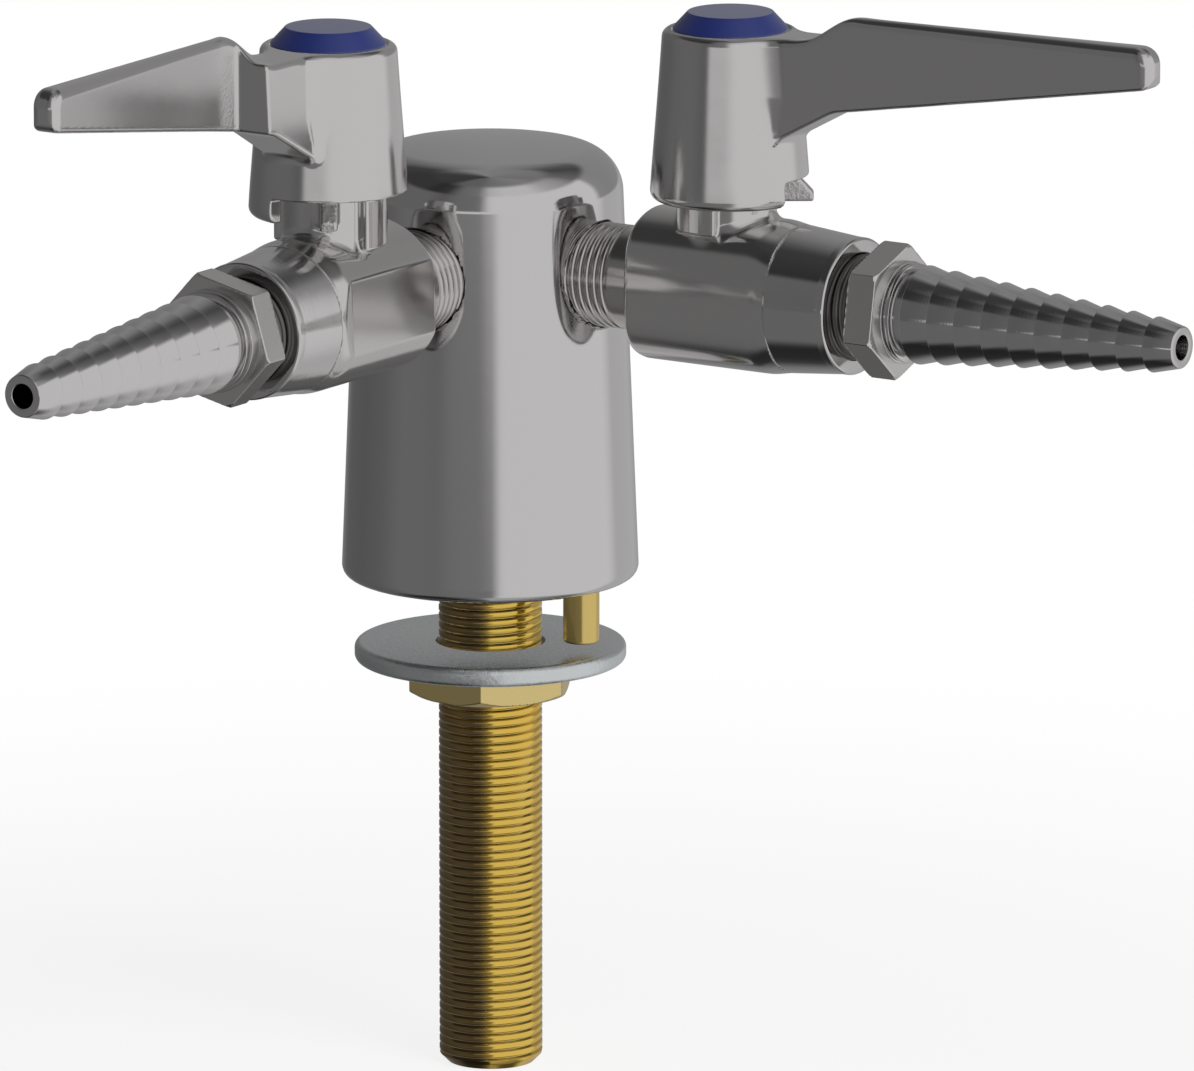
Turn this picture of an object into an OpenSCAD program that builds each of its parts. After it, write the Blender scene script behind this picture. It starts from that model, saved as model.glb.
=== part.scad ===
// Laboratory turret fitting with two lever ball valves and serrated hose nozzles.
// Millimetres, +Z up. The origin is the centre of the turret's deck face: the shank hangs below it.
// One valve points along +X and the other along -Y. Both levers are drawn open, in line with the flow.

/* [Turret body] */
// Height of the turret, from the deck face to the crown
body_h = 73; // [70:1:85]
// Diameter of the turret at the deck face
body_base_d = 49.4; // [49:0.2:56]
// Diameter that the tapered side would reach at the crown's height
body_crown_d = 43.5; // [42:0.5:46]
// Radius of the shoulder between the side and the crown
shoulder_r = 6; // [4:0.5:8]
// Radius of the shallow sphere that domes the crown
crown_r = 120; // [90:5:200]
// Radius of the rounded lower edge
foot_r = 2; // [1:0.5:3]
// Diameter of the water chamber inside
chamber_d = 28; // [24:0.5:30]
// Height at which the water chamber starts
chamber_floor = 18; // [16:0.5:22]
// Thickness of the casting above the water chamber
roof_t = 9; // [8:0.5:12]

/* [Threads] */
// Outside diameter of the 3/8 inch pipe thread on shank, nipples and nozzles
thread_d = 17.14; // [16.5:0.02:17.6]
// Turns of that thread to the inch, drawn as level rings
threads_per_inch = 18; // [14:1:24]
// Depth of the thread's rings
thread_depth = 0.85; // [0.4:0.05:1]
// Radial clearance of a thread that is screwed home
thread_gap = 0.02; // [0.01:0.01:0.05]
// Radial clearance of the lock nut, which still turns
nut_gap = 0.05; // [0.03:0.01:0.1]

/* [Shank and deck fixings] */
// Length of the shank below the deck face
shank_below = 82.7; // [70:0.5:110]
// Length of the shank screwed into the turret
shank_grip = 15; // [10:0.5:15.5]
// Bore of the shank
shank_bore_d = 11; // [8:0.5:13]
// Chamfer at the shank's lower end
shank_chamfer = 1.4; // [0.5:0.1:1.8]
// Outside diameter of the deck washer
washer_d = 45; // [42:0.5:52]
// Thickness of the deck washer
washer_t = 3.2; // [2:0.1:4]
// Radial clearance of the deck washer on the shank
washer_gap = 0.5; // [0.3:0.1:1]
// Distance from the deck face to the top of the washer, as drawn
washer_drop = 11.2; // [10.5:0.1:40]
// Width across the flats of the lock nut
nut_af = 25.4; // [24:0.1:28]
// Height of the lock nut
nut_h = 5.5; // [4:0.1:9]
// Angle of the lock nut on the shank, as drawn
nut_turn = -3; // [-30:1:30]
// Diameter of the anti-rotation pin
pin_d = 6; // [4:0.1:6.6]
// Length of the pin below the deck face
pin_below = 9.3; // [6:0.1:9.8]
// Diameter of the pin's spigot, which is pressed into the turret
pin_spigot_d = 5; // [3.5:0.1:5.4]
// Length of the pin's spigot
pin_grip = 8; // [6:0.5:12]
// Depth of the chamfer around the spigot's hole
pin_sink = 0.8; // [0.7:0.1:1.2]
// Distance of the pin's axis inside the edge of the deck face
pin_inset = 6.7; // [6.3:0.1:7.6]

/* [Valve body] */
// Depth of the valve's flow axis below the crown
valve_drop = 20; // [19:0.5:23]
// Distance from the turret's axis to the lever's axis
hub_u = 47; // [45:0.5:55]
// Length of the valve body behind the lever's axis
body_back = 14.5; // [14.3:0.1:16.5]
// Length of the valve body in front of the lever's axis
body_front = 13.8; // [12.4:0.1:18]
// Outside diameter of the valve body
valve_d = 25.4; // [24.6:0.2:28]
// Width across the two wrench flats on the valve body
flats_w = 22; // [21.6:0.2:23.6]
// Length of the plain rim between the wrench flats and the seam
flats_rim = 1.1; // [0.8:0.1:6]
// Length over which the valve body narrows to the seam
seam_taper = 3.5; // [2:0.1:6]
// Length of the screwed end piece beyond the seam
end_len = 11.1; // [9.5:0.1:14]
// Diameter of the end piece's outer rim
end_rim_d = 22.5; // [21.5:0.1:24]
// Length of the nipple inside the valve body
nipple_grip = 6.3; // [5:0.1:6.3]
// Length of the nipple's plain part before the valve body
nipple_plain = 4.5; // [2:0.1:7]
// Bore of the nipple
nipple_bore_d = 11; // [8:0.5:13]

/* [Ball and seats] */
// Diameter of the ball
ball_d = 12.7; // [11.7:0.1:12.7]
// Bore through the ball
port_d = 6.4; // [4:0.2:7]
// Running clearance between the ball and its seats
ball_gap = 0.05; // [0.03:0.01:0.1]
// Radial room between the ball and the body
ball_room = 0.45; // [0.4:0.05:0.6]
// Thickness of each seat ring
seat_t = 2.8; // [2.4:0.1:3]
// Bore of each seat ring
seat_bore_d = 7.2; // [7.2:0.1:8]
// Diameter of the end piece's spigot inside the body
spigot_d = 19; // [17:0.5:19.5]

/* [Stem and packing] */
// Diameter of the stem
stem_d = 7; // [6:0.1:7.4]
// Running clearance of the stem in the body, packing and nut
stem_gap = 0.05; // [0.03:0.01:0.1]
// Diameter of the stem's retaining flange
flange_d = 9.6; // [9:0.1:10]
// Thickness of the retaining flange
flange_t = 1.5; // [1:0.1:1.8]
// Thickness of the thrust washer above the flange
thrust_t = 0.8; // [0.5:0.1:1]
// Thickness of the tang that drives the ball
tang_t = 2.6; // [2:0.1:3]
// Depth of the tang in the ball
tang_depth = 1.7; // [1.2:0.1:2]
// Width of the square on the stem's upper end
square_w = 4.9; // [4.4:0.1:5]
// Diameter of the packing ring
packing_d = 10.8; // [10:0.1:11.4]
// Height of the packing ring
packing_h = 4; // [3:0.1:4.5]
// Thread diameter of the packing nut
gland_d = 12.2; // [11.6:0.1:12.6]
// Width across the flats of the packing nut's head
gland_af = 13; // [12.8:0.1:14]
// Height of the packing nut's head
gland_head_h = 3.2; // [2:0.1:4]
// Diameter of the collar cast on the valve body
collar_d = 15.2; // [14.8:0.1:16.4]
// Height of the collar's top above the flow axis
collar_h = 21.5; // [20.5:0.1:22.5]
// Radius of the cove where the collar runs into the valve body
collar_cove = 1.5; // [1:0.1:2.2]

/* [Collar pads and stop lug] */
// Diameter over the two pads on the collar's sides
pad_d = 19; // [17:0.1:19.4]
// Angle at which each pad starts, from the flow's direction
pad_from = 73; // [60:1:85]
// Height of each pad's lower edge above the flow axis
pad_h = 10.4; // [9.8:0.1:12]
// Angle of the stop lug, from the flow's direction
lug_turn = 34; // [20:1:45]
// Width of the stop lug
lug_w = 2.9; // [2:0.1:4]
// Reach of the stop lug from the lever's axis
lug_r = 13.6; // [13:0.1:14]
// Height of the stop lug's lower face above the flow axis
lug_h = 14.9; // [13.5:0.1:15.4]

/* [Lever handle] */
// Angle through which the lever turns from open to closed
lever_turn = 90; // [80:1:90]
// Height of the skirt's lower edge above the flow axis
skirt_h = 15.2; // [14.8:0.1:16]
// Depth of the skirt's window, in which the stop lug stands
skirt_drop = 4.2; // [3.8:0.1:4.6]
// Angle at which the window starts, from the lever's direction
window_from = -13; // [-20:1:-5]
// Angle at which the window ends
window_to = 190; // [150:1:200]
// Width of the rib inside the skirt that meets the collar's pads
rib_w = 1.9; // [1:0.1:2.2]
// Height of the hub from the skirt's lower edge to its rim
hub_h = 28.3; // [27:0.1:32]
// Diameter of the hub at the skirt's lower edge
hub_base_d = 26; // [25.6:0.1:28]
// Diameter of the hub at its rim
hub_rim_d = 22.4; // [22:0.1:24]
// Wall of the skirt at its lower edge
skirt_wall = 2.6; // [2:0.1:2.8]
// Radius of the skirt's rounded lower edge
skirt_edge = 1.6; // [0.8:0.1:1.8]
// Thickness of the web that the stem's square passes through
web_t = 6; // [5:0.1:7]
// Depth of the hub's upper recess, from the rim to the web
recess_h = 9.5; // [9:0.1:10]
// Distance from the lever's axis to the blade's tip
blade_len = 80.6; // [60:0.5:100]
// Distance from the lever's axis to the root block's outer face
root_len = 24.2; // [20:0.2:28]
// Width of the root block
root_w = 9.6; // [8:0.1:11]
// Height of the root block's lower corner below the rim
root_drop = 10.9; // [9:0.1:13]
// Height of the blade's top edge above the rim
blade_rise = 4.7; // [3:0.1:6]
// Height of the blade at its tip
tip_h = 6; // [5:0.1:8]
// Thickness of the blade at its tip
tip_t = 5; // [4:0.1:6]
// Thickness of the blade at its root
blade_t = 2.9; // [2.4:0.1:4]

/* [Handle screw and index cap] */
// Diameter of the handle screw's thread
screw_d = 3; // [2.5:0.1:3.4]
// Length of the handle screw under its head
screw_len = 10; // [8:0.5:14]
// Diameter of the handle screw's head
screw_head_d = 7.4; // [6.8:0.1:8.4]
// Height of the handle screw's head
screw_head_h = 2.4; // [1.8:0.1:3]
// Diameter of the index cap where it meets the rim
cap_d = 19.1; // [18.6:0.1:19.3]
// Diameter of the index cap's flat top
cap_top_d = 13.9; // [12:0.1:16]
// Height of the index cap above the rim
cap_h = 2.7; // [2:0.1:4]

/* [Hose nozzle] */
// Visible length of thread between the end piece and the hexagon
neck_len = 3.3; // [2:0.1:5]
// Width across the flats of the nozzle's hexagon
hex_af = 19.4; // [18.6:0.1:21]
// Thickness of the hexagon
hex_t = 5.2; // [4:0.1:8]
// Angle at which the right nozzle's hexagon came to rest when it was screwed home
right_hex_turn = -10; // [-30:1:30]
// Angle at which the left nozzle's hexagon came to rest
left_hex_turn = 17; // [-30:1:30]
// Number of serrations on the nozzle
barb_count = 10; // [6:1:12]
// Distance from one serration to the next
barb_pitch = 4.85; // [4:0.05:5.5]
// Diameter of the largest serration, next to the hexagon
barb_root_d = 16.2; // [15:0.1:17.4]
// Diameter of the smallest serration
barb_tip_d = 9.1; // [8:0.1:10]
// Step down behind each serration
barb_step = 0.75; // [0.4:0.05:0.9]
// Diameter of the nozzle at its tip
tip_d = 6.8; // [6:0.1:7.6]
// Bore of the nozzle
nozzle_bore_d = 4; // [3:0.1:4.8]

/* [Hidden] */
$fn = 96;

// Directions of the two valves around the turret
right_turn = 0;
left_turn = -90;

// Extra length that carries a cut past the surface it opens
past = 1;
// Slack at the end of a blind bore
end_slack = 0.2;
// Distance from the seam to the nozzle's screwed end, inside the end piece
nozzle_inset = 2;
// Amount by which the first serration is shorter than the others
barb_lead = 0.7;
// Radial clearance of pieces that are pressed or clipped together
press_gap = 0.02;
// Steps in an arc of a turned profile
arc_steps = 8;

// Turret
base_r = body_base_d / 2;
valve_z = body_h - valve_drop;
pin_u = base_r - pin_inset;
taper = atan((body_base_d - body_crown_d) / 2 / body_h);
chamber_r = chamber_d / 2;
chamber_top = body_h - roof_t;
thread_r = thread_d / 2;
thread_bore_r = thread_r + thread_gap;

// Stations along the flow axis, measured from the turret's axis
nipple_start = chamber_r + 0.5;
inlet_u = hub_u - body_back;
nipple_end = inlet_u + nipple_grip;
seam_u = hub_u + body_front;
end_u = seam_u + end_len;
hex_u = end_u + neck_len;
serration_u = hex_u + hex_t;
nozzle_start = seam_u + nozzle_inset;
first_barb_u = serration_u + barb_pitch - barb_lead;
tip_u = first_barb_u + barb_count * barb_pitch;
// Radius at the seam between valve body and end piece, and the small bevel on each side of it
seam_r = end_rim_d / 2 + 0.85;
seam_edge = 0.3;

// Ball, seats and body cavity
ball_r = ball_d / 2;
cavity_r = ball_r + ball_room;
seat_reach = cavity_r;
valve_r = valve_d / 2;

// Heights of the stem pieces, measured from the flow axis
tang_z = ball_r - tang_depth;
flange_z = ball_r + 0.75;
thrust_z = flange_z + flange_t + 0.05;
ledge_z = thrust_z + thrust_t + 0.05;
shelf_z = ledge_z + 1;
packing_top = shelf_z + packing_h;
skirt_top = skirt_h + skirt_drop;
lug_top = skirt_top - 0.4;
rim_z = skirt_h + hub_h;
web_top = rim_z - recess_h;
web_z = web_top - web_t;
stem_top = web_top - 0.5;
stem_r = stem_d / 2;
stem_bore_r = stem_r + stem_gap;

// Handle
hub_base_r = hub_base_d / 2;
hub_rim_r = hub_rim_d / 2;
hub_inner_r = hub_base_r - skirt_wall;
cap_r = cap_d / 2;
cap_seat_h = 2;
recess_r = cap_r - 0.8;
blade_top = rim_z + blade_rise;
// Angle from the rib's middle to its side, and the slack left between rib and pad at each limit
rib_half = asin(rib_w / pad_d);
stop_clear = 3;
pad_to = 180 - lever_turn / 2 - rib_half - stop_clear;

function arc(x, y, r, from, to, steps = arc_steps) =
    [for (i = [0:steps]) let (a = from + (to - from) * i / steps) [x + r * cos(a), y + r * sin(a)]];

// Places a valve piece, drawn with its flow along +X, in one of the two directions
module on_valve(turn) {
    rotate([0, 0, turn])
        translate([0, 0, valve_z])
            children();
}

// Places a piece that turns about the lever's axis
module on_hub(turn) {
    on_valve(turn)
        translate([hub_u, 0, 0])
            children();
}

// A cylinder along the flow axis
module rod(from, to, r) {
    translate([from, 0, 0])
        rotate([0, 90, 0])
            cylinder(h = to - from, r = r);
}

// A profile of [station, radius] points turned about the flow axis
module turned(points) {
    rotate([0, 90, 0])
        rotate_extrude()
            polygon([for (p = points) [p[1], p[0]]]);
}

// A wedge of the plan between two angles
module sector(r, from, to, z0, z1) {
    steps = ceil((to - from) / 30);
    translate([0, 0, z0])
        linear_extrude(z1 - z0)
            polygon(concat([[0, 0]], arc(0, 0, r, from, to, steps)));
}

// The thread's rings between two stations, as [station, radius] points
function thread_rings(from, to) =
    let (pitch = 25.4 / threads_per_inch, count = floor((to - from) / pitch), start = to - count * pitch)
    [for (i = [0:count - 1]) let (at = start + i * pitch) each [
        [at, thread_r], [at + 0.4 * pitch, thread_r - thread_depth], [at + 0.8 * pitch, thread_r]]];

module turret_outline() {
    crown_z = body_h - crown_r;
    a = base_r - shoulder_r / cos(taper);
    t = tan(taper);
    b = a * t + crown_z;
    c = a * a + crown_z * crown_z - pow(crown_r - shoulder_r, 2);
    shoulder_z = (b + sqrt(b * b - (t * t + 1) * c)) / (t * t + 1);
    shoulder_x = a - t * shoulder_z;
    crown_angle = atan2(shoulder_z - crown_z, shoulder_x);
    foot_x = base_r - foot_r / cos(taper) - foot_r * t;
    polygon(concat(
        [[0, 0]],
        arc(foot_x, foot_r, foot_r, -90, taper),
        arc(shoulder_x, shoulder_z, shoulder_r, taper, crown_angle),
        arc(0, crown_z, crown_r, crown_angle, 90)));
}

module turret_body() {
    pin_hole_r = pin_spigot_d / 2 + press_gap;
    color([0.66, 0.65, 0.65])
        difference() {
            rotate_extrude() turret_outline();
            translate([0, 0, -past])
                cylinder(h = chamber_floor + 2 * past, r = thread_bore_r);
            translate([0, 0, chamber_floor])
                cylinder(h = chamber_top - chamber_floor, r = chamber_r);
            for (turn = [right_turn, left_turn])
                on_valve(turn)
                    rod(chamber_r - past, base_r + past, thread_bore_r);
            translate([pin_u, 0, -past])
                cylinder(h = pin_grip + end_slack + past, r = pin_hole_r);
            translate([pin_u, 0, 0])
                cylinder(h = pin_sink, r1 = pin_hole_r + pin_sink, r2 = pin_hole_r);
        }
}

module shank() {
    shank_end = thread_r - shank_chamfer;
    chamfer_top = shank_chamfer - shank_below;
    plain = 0.4;
    color([0.79, 0.62, 0.22])
        difference() {
            rotate_extrude()
                polygon(concat(
                    [[0, -shank_below], [shank_end, -shank_below], [thread_r, chamfer_top]],
                    [for (p = thread_rings(chamfer_top + plain, -plain)) [p[1], p[0]]],
                    [[thread_r, shank_grip], [0, shank_grip]]));
            translate([0, 0, -shank_below - past])
                cylinder(h = shank_below + shank_grip + 2 * past, d = shank_bore_d);
        }
}

module anti_rotation_pin() {
    chamfer = pin_d / 10;
    color([0.79, 0.64, 0.25])
        translate([pin_u, 0, -pin_below]) {
            translate([0, 0, chamfer])
                cylinder(h = pin_below - chamfer, d = pin_d);
            cylinder(h = chamfer, d1 = pin_d - 2 * chamfer, d2 = pin_d);
            cylinder(h = pin_below + pin_grip, d = pin_spigot_d);
        }
}

module deck_washer() {
    edge = washer_t * 0.45;
    hole_r = thread_r + washer_gap;
    color([0.66, 0.70, 0.72])
        translate([0, 0, -washer_drop - washer_t])
            rotate_extrude()
                polygon(concat(
                    [[hole_r, 0]],
                    arc(washer_d / 2 - edge, edge, edge, -90, 0, 4),
                    arc(washer_d / 2 - edge, washer_t - edge, edge, 0, 90, 4),
                    [[hole_r, washer_t]]));
}

module lock_nut() {
    corner_r = nut_af / 2 / cos(30);
    flat_r = nut_af / 2;
    bevel = corner_r - flat_r;
    color([0.86, 0.78, 0.42])
        translate([0, 0, -washer_drop - washer_t - nut_h])
            difference() {
                intersection() {
                    rotate([0, 0, nut_turn])
                        cylinder(h = nut_h, r = corner_r, $fn = 6);
                    union() {
                        cylinder(h = bevel, r1 = flat_r, r2 = corner_r + 0.1);
                        translate([0, 0, bevel])
                            cylinder(h = nut_h - bevel, r = corner_r + 0.1);
                    }
                }
                translate([0, 0, -past])
                    cylinder(h = nut_h + 2 * past, r = thread_r + nut_gap);
            }
}

module nipple(turn) {
    color([0.60, 0.59, 0.58])
        on_valve(turn)
            difference() {
                turned(concat(
                    [[nipple_start, 0], [nipple_start, thread_r]],
                    thread_rings(body_crown_d / 2 - 0.5, inlet_u - nipple_plain),
                    [[nipple_end, thread_r], [nipple_end, 0]]));
                rod(nipple_start - past, nipple_end + past, nipple_bore_d / 2);
            }
}

// A pad on one side of the collar; side is 1 on the left and -1 on the right of the flow
module collar_pad(side) {
    intersection() {
        cylinder(h = lug_top, d = pad_d);
        if (side > 0)
            sector(pad_d, pad_from, pad_to, pad_h, lug_top);
        else
            sector(pad_d, -pad_to, -pad_from, pad_h, lug_top);
    }
}

// The fin that stands in the skirt's window: level underneath, with a sloping back
module stop_lug() {
    nose = 0.5;
    slope = 2.4;
    rotate([0, 0, lug_turn])
        translate([0, lug_w / 2, 0])
            rotate([90, 0, 0])
                linear_extrude(lug_w)
                    polygon([
                        [0, lug_h], [lug_r - nose, lug_h], [lug_r, lug_h + nose],
                        [lug_r, lug_h + 3 * nose], [lug_r - slope, lug_top], [0, lug_top]]);
}

// The collar with its cove, solid: the bores are cut by the valve body
module collar() {
    foot_z = sqrt(valve_r * valve_r - collar_d * collar_d / 4);
    cove_top = foot_z + 1.5 * collar_cove;
    cove_x = collar_d / 2 + collar_cove;
    cylinder(h = collar_h, d = collar_d);
    rotate_extrude()
        polygon(concat(
            [[0, 0], [cove_x, 0]],
            arc(cove_x, cove_top, collar_cove, 270, 180),
            [[0, cove_top]]));
    for (side = [-1, 1])
        collar_pad(side);
    stop_lug();
}

module valve_body(turn) {
    edge = 1.1;
    flats_end = seam_u - flats_rim;
    color([0.58, 0.57, 0.57])
        on_valve(turn)
            difference() {
                union() {
                    difference() {
                        turned(concat(
                            [[inlet_u, 0]],
                            arc(inlet_u + edge, valve_r - edge, edge, 180, 90, 4),
                            [[seam_u - seam_taper, valve_r], [seam_u - seam_edge, seam_r]],
                            [[seam_u, seam_r - seam_edge], [seam_u, 0]]));
                        for (side = [-1, 1])
                            translate([inlet_u - past, side * (flats_w + valve_d) / 2 - valve_d / 2, -valve_d])
                                cube([flats_end - inlet_u + past, valve_d, 2 * valve_d]);
                    }
                    translate([hub_u, 0, 0])
                        collar();
                }
                rod(inlet_u - past, nipple_end + end_slack, thread_bore_r);
                rod(inlet_u, hub_u, port_d / 2);
                rod(hub_u - seat_reach, hub_u + seat_reach, cavity_r);
                rod(hub_u + seat_reach, seam_u + past, spigot_d / 2 + thread_gap);
                translate([hub_u, 0, 0]) {
                    cylinder(h = ledge_z, r = flange_d / 2 + 0.1);
                    cylinder(h = collar_h, r = stem_bore_r);
                    translate([0, 0, shelf_z])
                        cylinder(h = collar_h, r = packing_d / 2 + press_gap);
                    translate([0, 0, packing_top])
                        cylinder(h = collar_h, r = gland_d / 2 + thread_gap);
                }
            }
}

module end_piece(turn) {
    lip = 0.5;
    color([0.60, 0.59, 0.59])
        on_valve(turn)
            difference() {
                union() {
                    rod(hub_u + seat_reach, seam_u + past, spigot_d / 2);
                    turned([
                        [seam_u, 0], [seam_u, seam_r - seam_edge], [seam_u + seam_edge, seam_r],
                        [end_u - 1.6, end_rim_d / 2], [end_u - lip, end_rim_d / 2],
                        [end_u, end_rim_d / 2 - lip], [end_u, 0]]);
                }
                rod(hub_u, end_u, port_d / 2 + 0.4);
                rod(nozzle_start - end_slack, end_u + past, thread_bore_r);
            }
}

// One PTFE seat ring; facing is -1 on the inlet side and 1 on the outlet side
module seat(turn, facing) {
    inner = seat_reach - seat_t;
    color([0.93, 0.93, 0.90])
        on_hub(turn)
            rotate([0, 0, facing > 0 ? 0 : 180])
                difference() {
                    rod(inner, seat_reach, cavity_r - press_gap);
                    rod(inner - past, seat_reach + past, seat_bore_d / 2);
                    sphere(r = ball_r + ball_gap);
                }
}

module ball(turn) {
    color([0.78, 0.78, 0.78])
        on_hub(turn)
            difference() {
                sphere(r = ball_r);
                rod(-ball_d, ball_d, port_d / 2);
                translate([-tang_t / 2 - ball_gap, -ball_d, tang_z])
                    cube([tang_t + 2 * ball_gap, 2 * ball_d, ball_d]);
            }
}

module stem(turn) {
    tang_w = flange_d * 0.7;
    color([0.80, 0.68, 0.35])
        on_hub(turn)
            difference() {
                union() {
                    translate([-tang_t / 2, -tang_w / 2, tang_z + ball_gap])
                        cube([tang_t, tang_w, flange_z - tang_z]);
                    translate([0, 0, flange_z])
                        cylinder(h = flange_t, d = flange_d);
                    translate([0, 0, flange_z])
                        cylinder(h = web_z - flange_z, r = stem_r);
                    translate([-square_w / 2, -square_w / 2, web_z - past])
                        cube([square_w, square_w, stem_top - web_z + past]);
                }
                translate([0, 0, web_top - screw_len - 1])
                    cylinder(h = screw_len + 2, r = screw_d / 2 + thread_gap);
            }
}

module thrust_washer(turn) {
    color([0.92, 0.92, 0.88])
        on_hub(turn)
            translate([0, 0, thrust_z])
                difference() {
                    cylinder(h = thrust_t, d = flange_d);
                    translate([0, 0, -past])
                        cylinder(h = thrust_t + 2 * past, r = stem_bore_r);
                }
}

module stem_packing(turn) {
    color([0.94, 0.94, 0.91])
        on_hub(turn)
            translate([0, 0, shelf_z])
                difference() {
                    cylinder(h = packing_h, d = packing_d);
                    translate([0, 0, -past])
                        cylinder(h = packing_h + 2 * past, r = stem_bore_r);
                }
}

module packing_nut(turn) {
    color([0.82, 0.70, 0.36])
        on_hub(turn)
            difference() {
                union() {
                    translate([0, 0, packing_top])
                        cylinder(h = collar_h - packing_top, d = gland_d);
                    translate([0, 0, collar_h])
                        cylinder(h = gland_head_h, d = gland_af / cos(30), $fn = 6);
                }
                cylinder(h = collar_h + gland_head_h + past, r = stem_bore_r);
            }
}

// Side view of the lever, as [distance from the hub's axis, height] points
module blade_side() {
    corner = 3;
    nick = 0.8;
    ramp_run = 8.6;
    ramp_bend = 5.8;
    ramp_lift = 0.4;
    root_foot = web_z - 1.8;
    shelf = rim_z - 0.2;
    polygon(concat(
        [[0, root_foot], [hub_rim_r, root_foot], [root_len, rim_z - root_drop]],
        [[blade_len - nick, blade_top - tip_h], [blade_len, blade_top - tip_h + nick]],
        arc(blade_len - corner, blade_top - corner, corner, 0, 90, 6),
        [[root_len + 2 * nick, blade_top], [root_len - nick, blade_top - nick]],
        [[root_len - ramp_bend, rim_z + ramp_lift], [root_len - ramp_run, shelf], [0, shelf]]));
}

// Plan of the lever: a square-shouldered root block that steps back to a thin blade on one side
module blade_plan() {
    lean = 0.4;
    step_run = 1.5;
    step_round = 1.6;
    flank = blade_t - root_w / 2;
    polygon([
        [0, -root_w / 2], [hub_rim_r, -root_w / 2],
        [blade_len, lean - tip_t / 2], [blade_len, lean + tip_t / 2],
        [root_len + step_run, flank + lean], [root_len, flank + step_round],
        [root_len, root_w / 2], [0, root_w / 2]]);
}

// The rib inside the skirt: it meets the rear end of one pad when open and of the other when closed
module stop_rib() {
    rib_r = pad_d / 2 - 1.2;
    rotate([0, 0, 180 + lever_turn / 2])
        translate([rib_r, -rib_w / 2, skirt_h])
            cube([hub_base_r - rib_r, rib_w, skirt_drop]);
}

module handle(turn) {
    rim_edge = 1;
    color([0.64, 0.63, 0.63])
        on_hub(turn)
            difference() {
                union() {
                    rotate_extrude()
                        polygon(concat(
                            [[0, skirt_h]],
                            arc(hub_base_r - skirt_edge, skirt_h + skirt_edge, skirt_edge, -90, 0, 4),
                            [[hub_base_r - 0.1, skirt_top], [hub_base_r - 0.9, skirt_h + hub_h / 2]],
                            [[hub_rim_r, rim_z - rim_edge], [hub_rim_r - rim_edge, rim_z], [0, rim_z]]));
                    intersection() {
                        translate([0, blade_len, 0])
                            rotate([90, 0, 0])
                                linear_extrude(2 * blade_len) blade_side();
                        linear_extrude(2 * blade_top) blade_plan();
                    }
                }
                difference() {
                    translate([0, 0, skirt_h - past])
                        cylinder(h = web_z - skirt_h + past, r = hub_inner_r);
                    stop_rib();
                }
                sector(2 * hub_base_r, window_from, window_to, skirt_h - past, skirt_top);
                translate([0, 0, web_top])
                    cylinder(h = recess_h + past, r = recess_r);
                translate([0, 0, rim_z - cap_seat_h])
                    cylinder(h = cap_seat_h + past, r = cap_r + press_gap);
                translate([-square_w / 2 - press_gap, -square_w / 2 - press_gap, web_z - past])
                    cube([square_w + 2 * press_gap, square_w + 2 * press_gap, web_t + 2 * past]);
            }
}

module handle_screw(turn) {
    slot_w = screw_head_d / 7;
    color([0.75, 0.75, 0.74])
        on_hub(turn)
            difference() {
                union() {
                    translate([0, 0, web_top - screw_len])
                        cylinder(h = screw_len, d = screw_d);
                    translate([0, 0, web_top])
                        cylinder(h = screw_head_h, d = screw_head_d);
                }
                translate([-screw_head_d, -slot_w / 2, web_top + screw_head_h * 0.55])
                    cube([2 * screw_head_d, slot_w, screw_head_h]);
            }
}

module index_cap(turn) {
    wall = 1.4;
    skirt_len = 3.5;
    color([0.13, 0.19, 0.55])
        on_hub(turn)
            difference() {
                union() {
                    translate([0, 0, rim_z - cap_seat_h])
                        cylinder(h = cap_seat_h, r = cap_r);
                    translate([0, 0, rim_z])
                        cylinder(h = cap_h, d1 = cap_d, d2 = cap_top_d);
                    translate([0, 0, rim_z - cap_seat_h - skirt_len])
                        cylinder(h = skirt_len, r = recess_r - press_gap);
                }
                translate([0, 0, rim_z - cap_seat_h - skirt_len - past])
                    cylinder(h = skirt_len + past, r = recess_r - wall);
            }
}

// Radius of a serration's crest, counted from the hexagon
function crest_r(i) = (barb_root_d + (barb_tip_d - barb_root_d) * i / (barb_count - 1)) / 2;

// Each serration steps up to a sharp crest and slopes down towards the tip, to the foot of the next
module hose_nozzle(turn, hex_turn) {
    collar_r = crest_r(0) + 0.15;
    step_run = 0.15;
    color([0.62, 0.61, 0.61])
        on_valve(turn)
            difference() {
                union() {
                    rod(nozzle_start, hex_u, thread_r);
                    translate([hex_u, 0, 0])
                        rotate([hex_turn, 0, 0])
                            rotate([0, 90, 0])
                                cylinder(h = hex_t, r = hex_af / 2 / cos(30), $fn = 6);
                    turned(concat(
                        [[hex_u, 0], [hex_u, collar_r], [serration_u + 1.2, collar_r]],
                        [[serration_u + 1.6, crest_r(0) - barb_step]],
                        [for (i = [0:barb_count - 1]) each [
                            [first_barb_u + i * barb_pitch - step_run, crest_r(i) - barb_step],
                            [first_barb_u + i * barb_pitch, crest_r(i)]]],
                        [[tip_u, tip_d / 2], [tip_u, 0]]));
                }
                rod(nozzle_start - past, tip_u + past, nozzle_bore_d / 2);
                rod(nozzle_start - past, hex_u, nozzle_bore_d / 2 + 2);
            }
}

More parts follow.
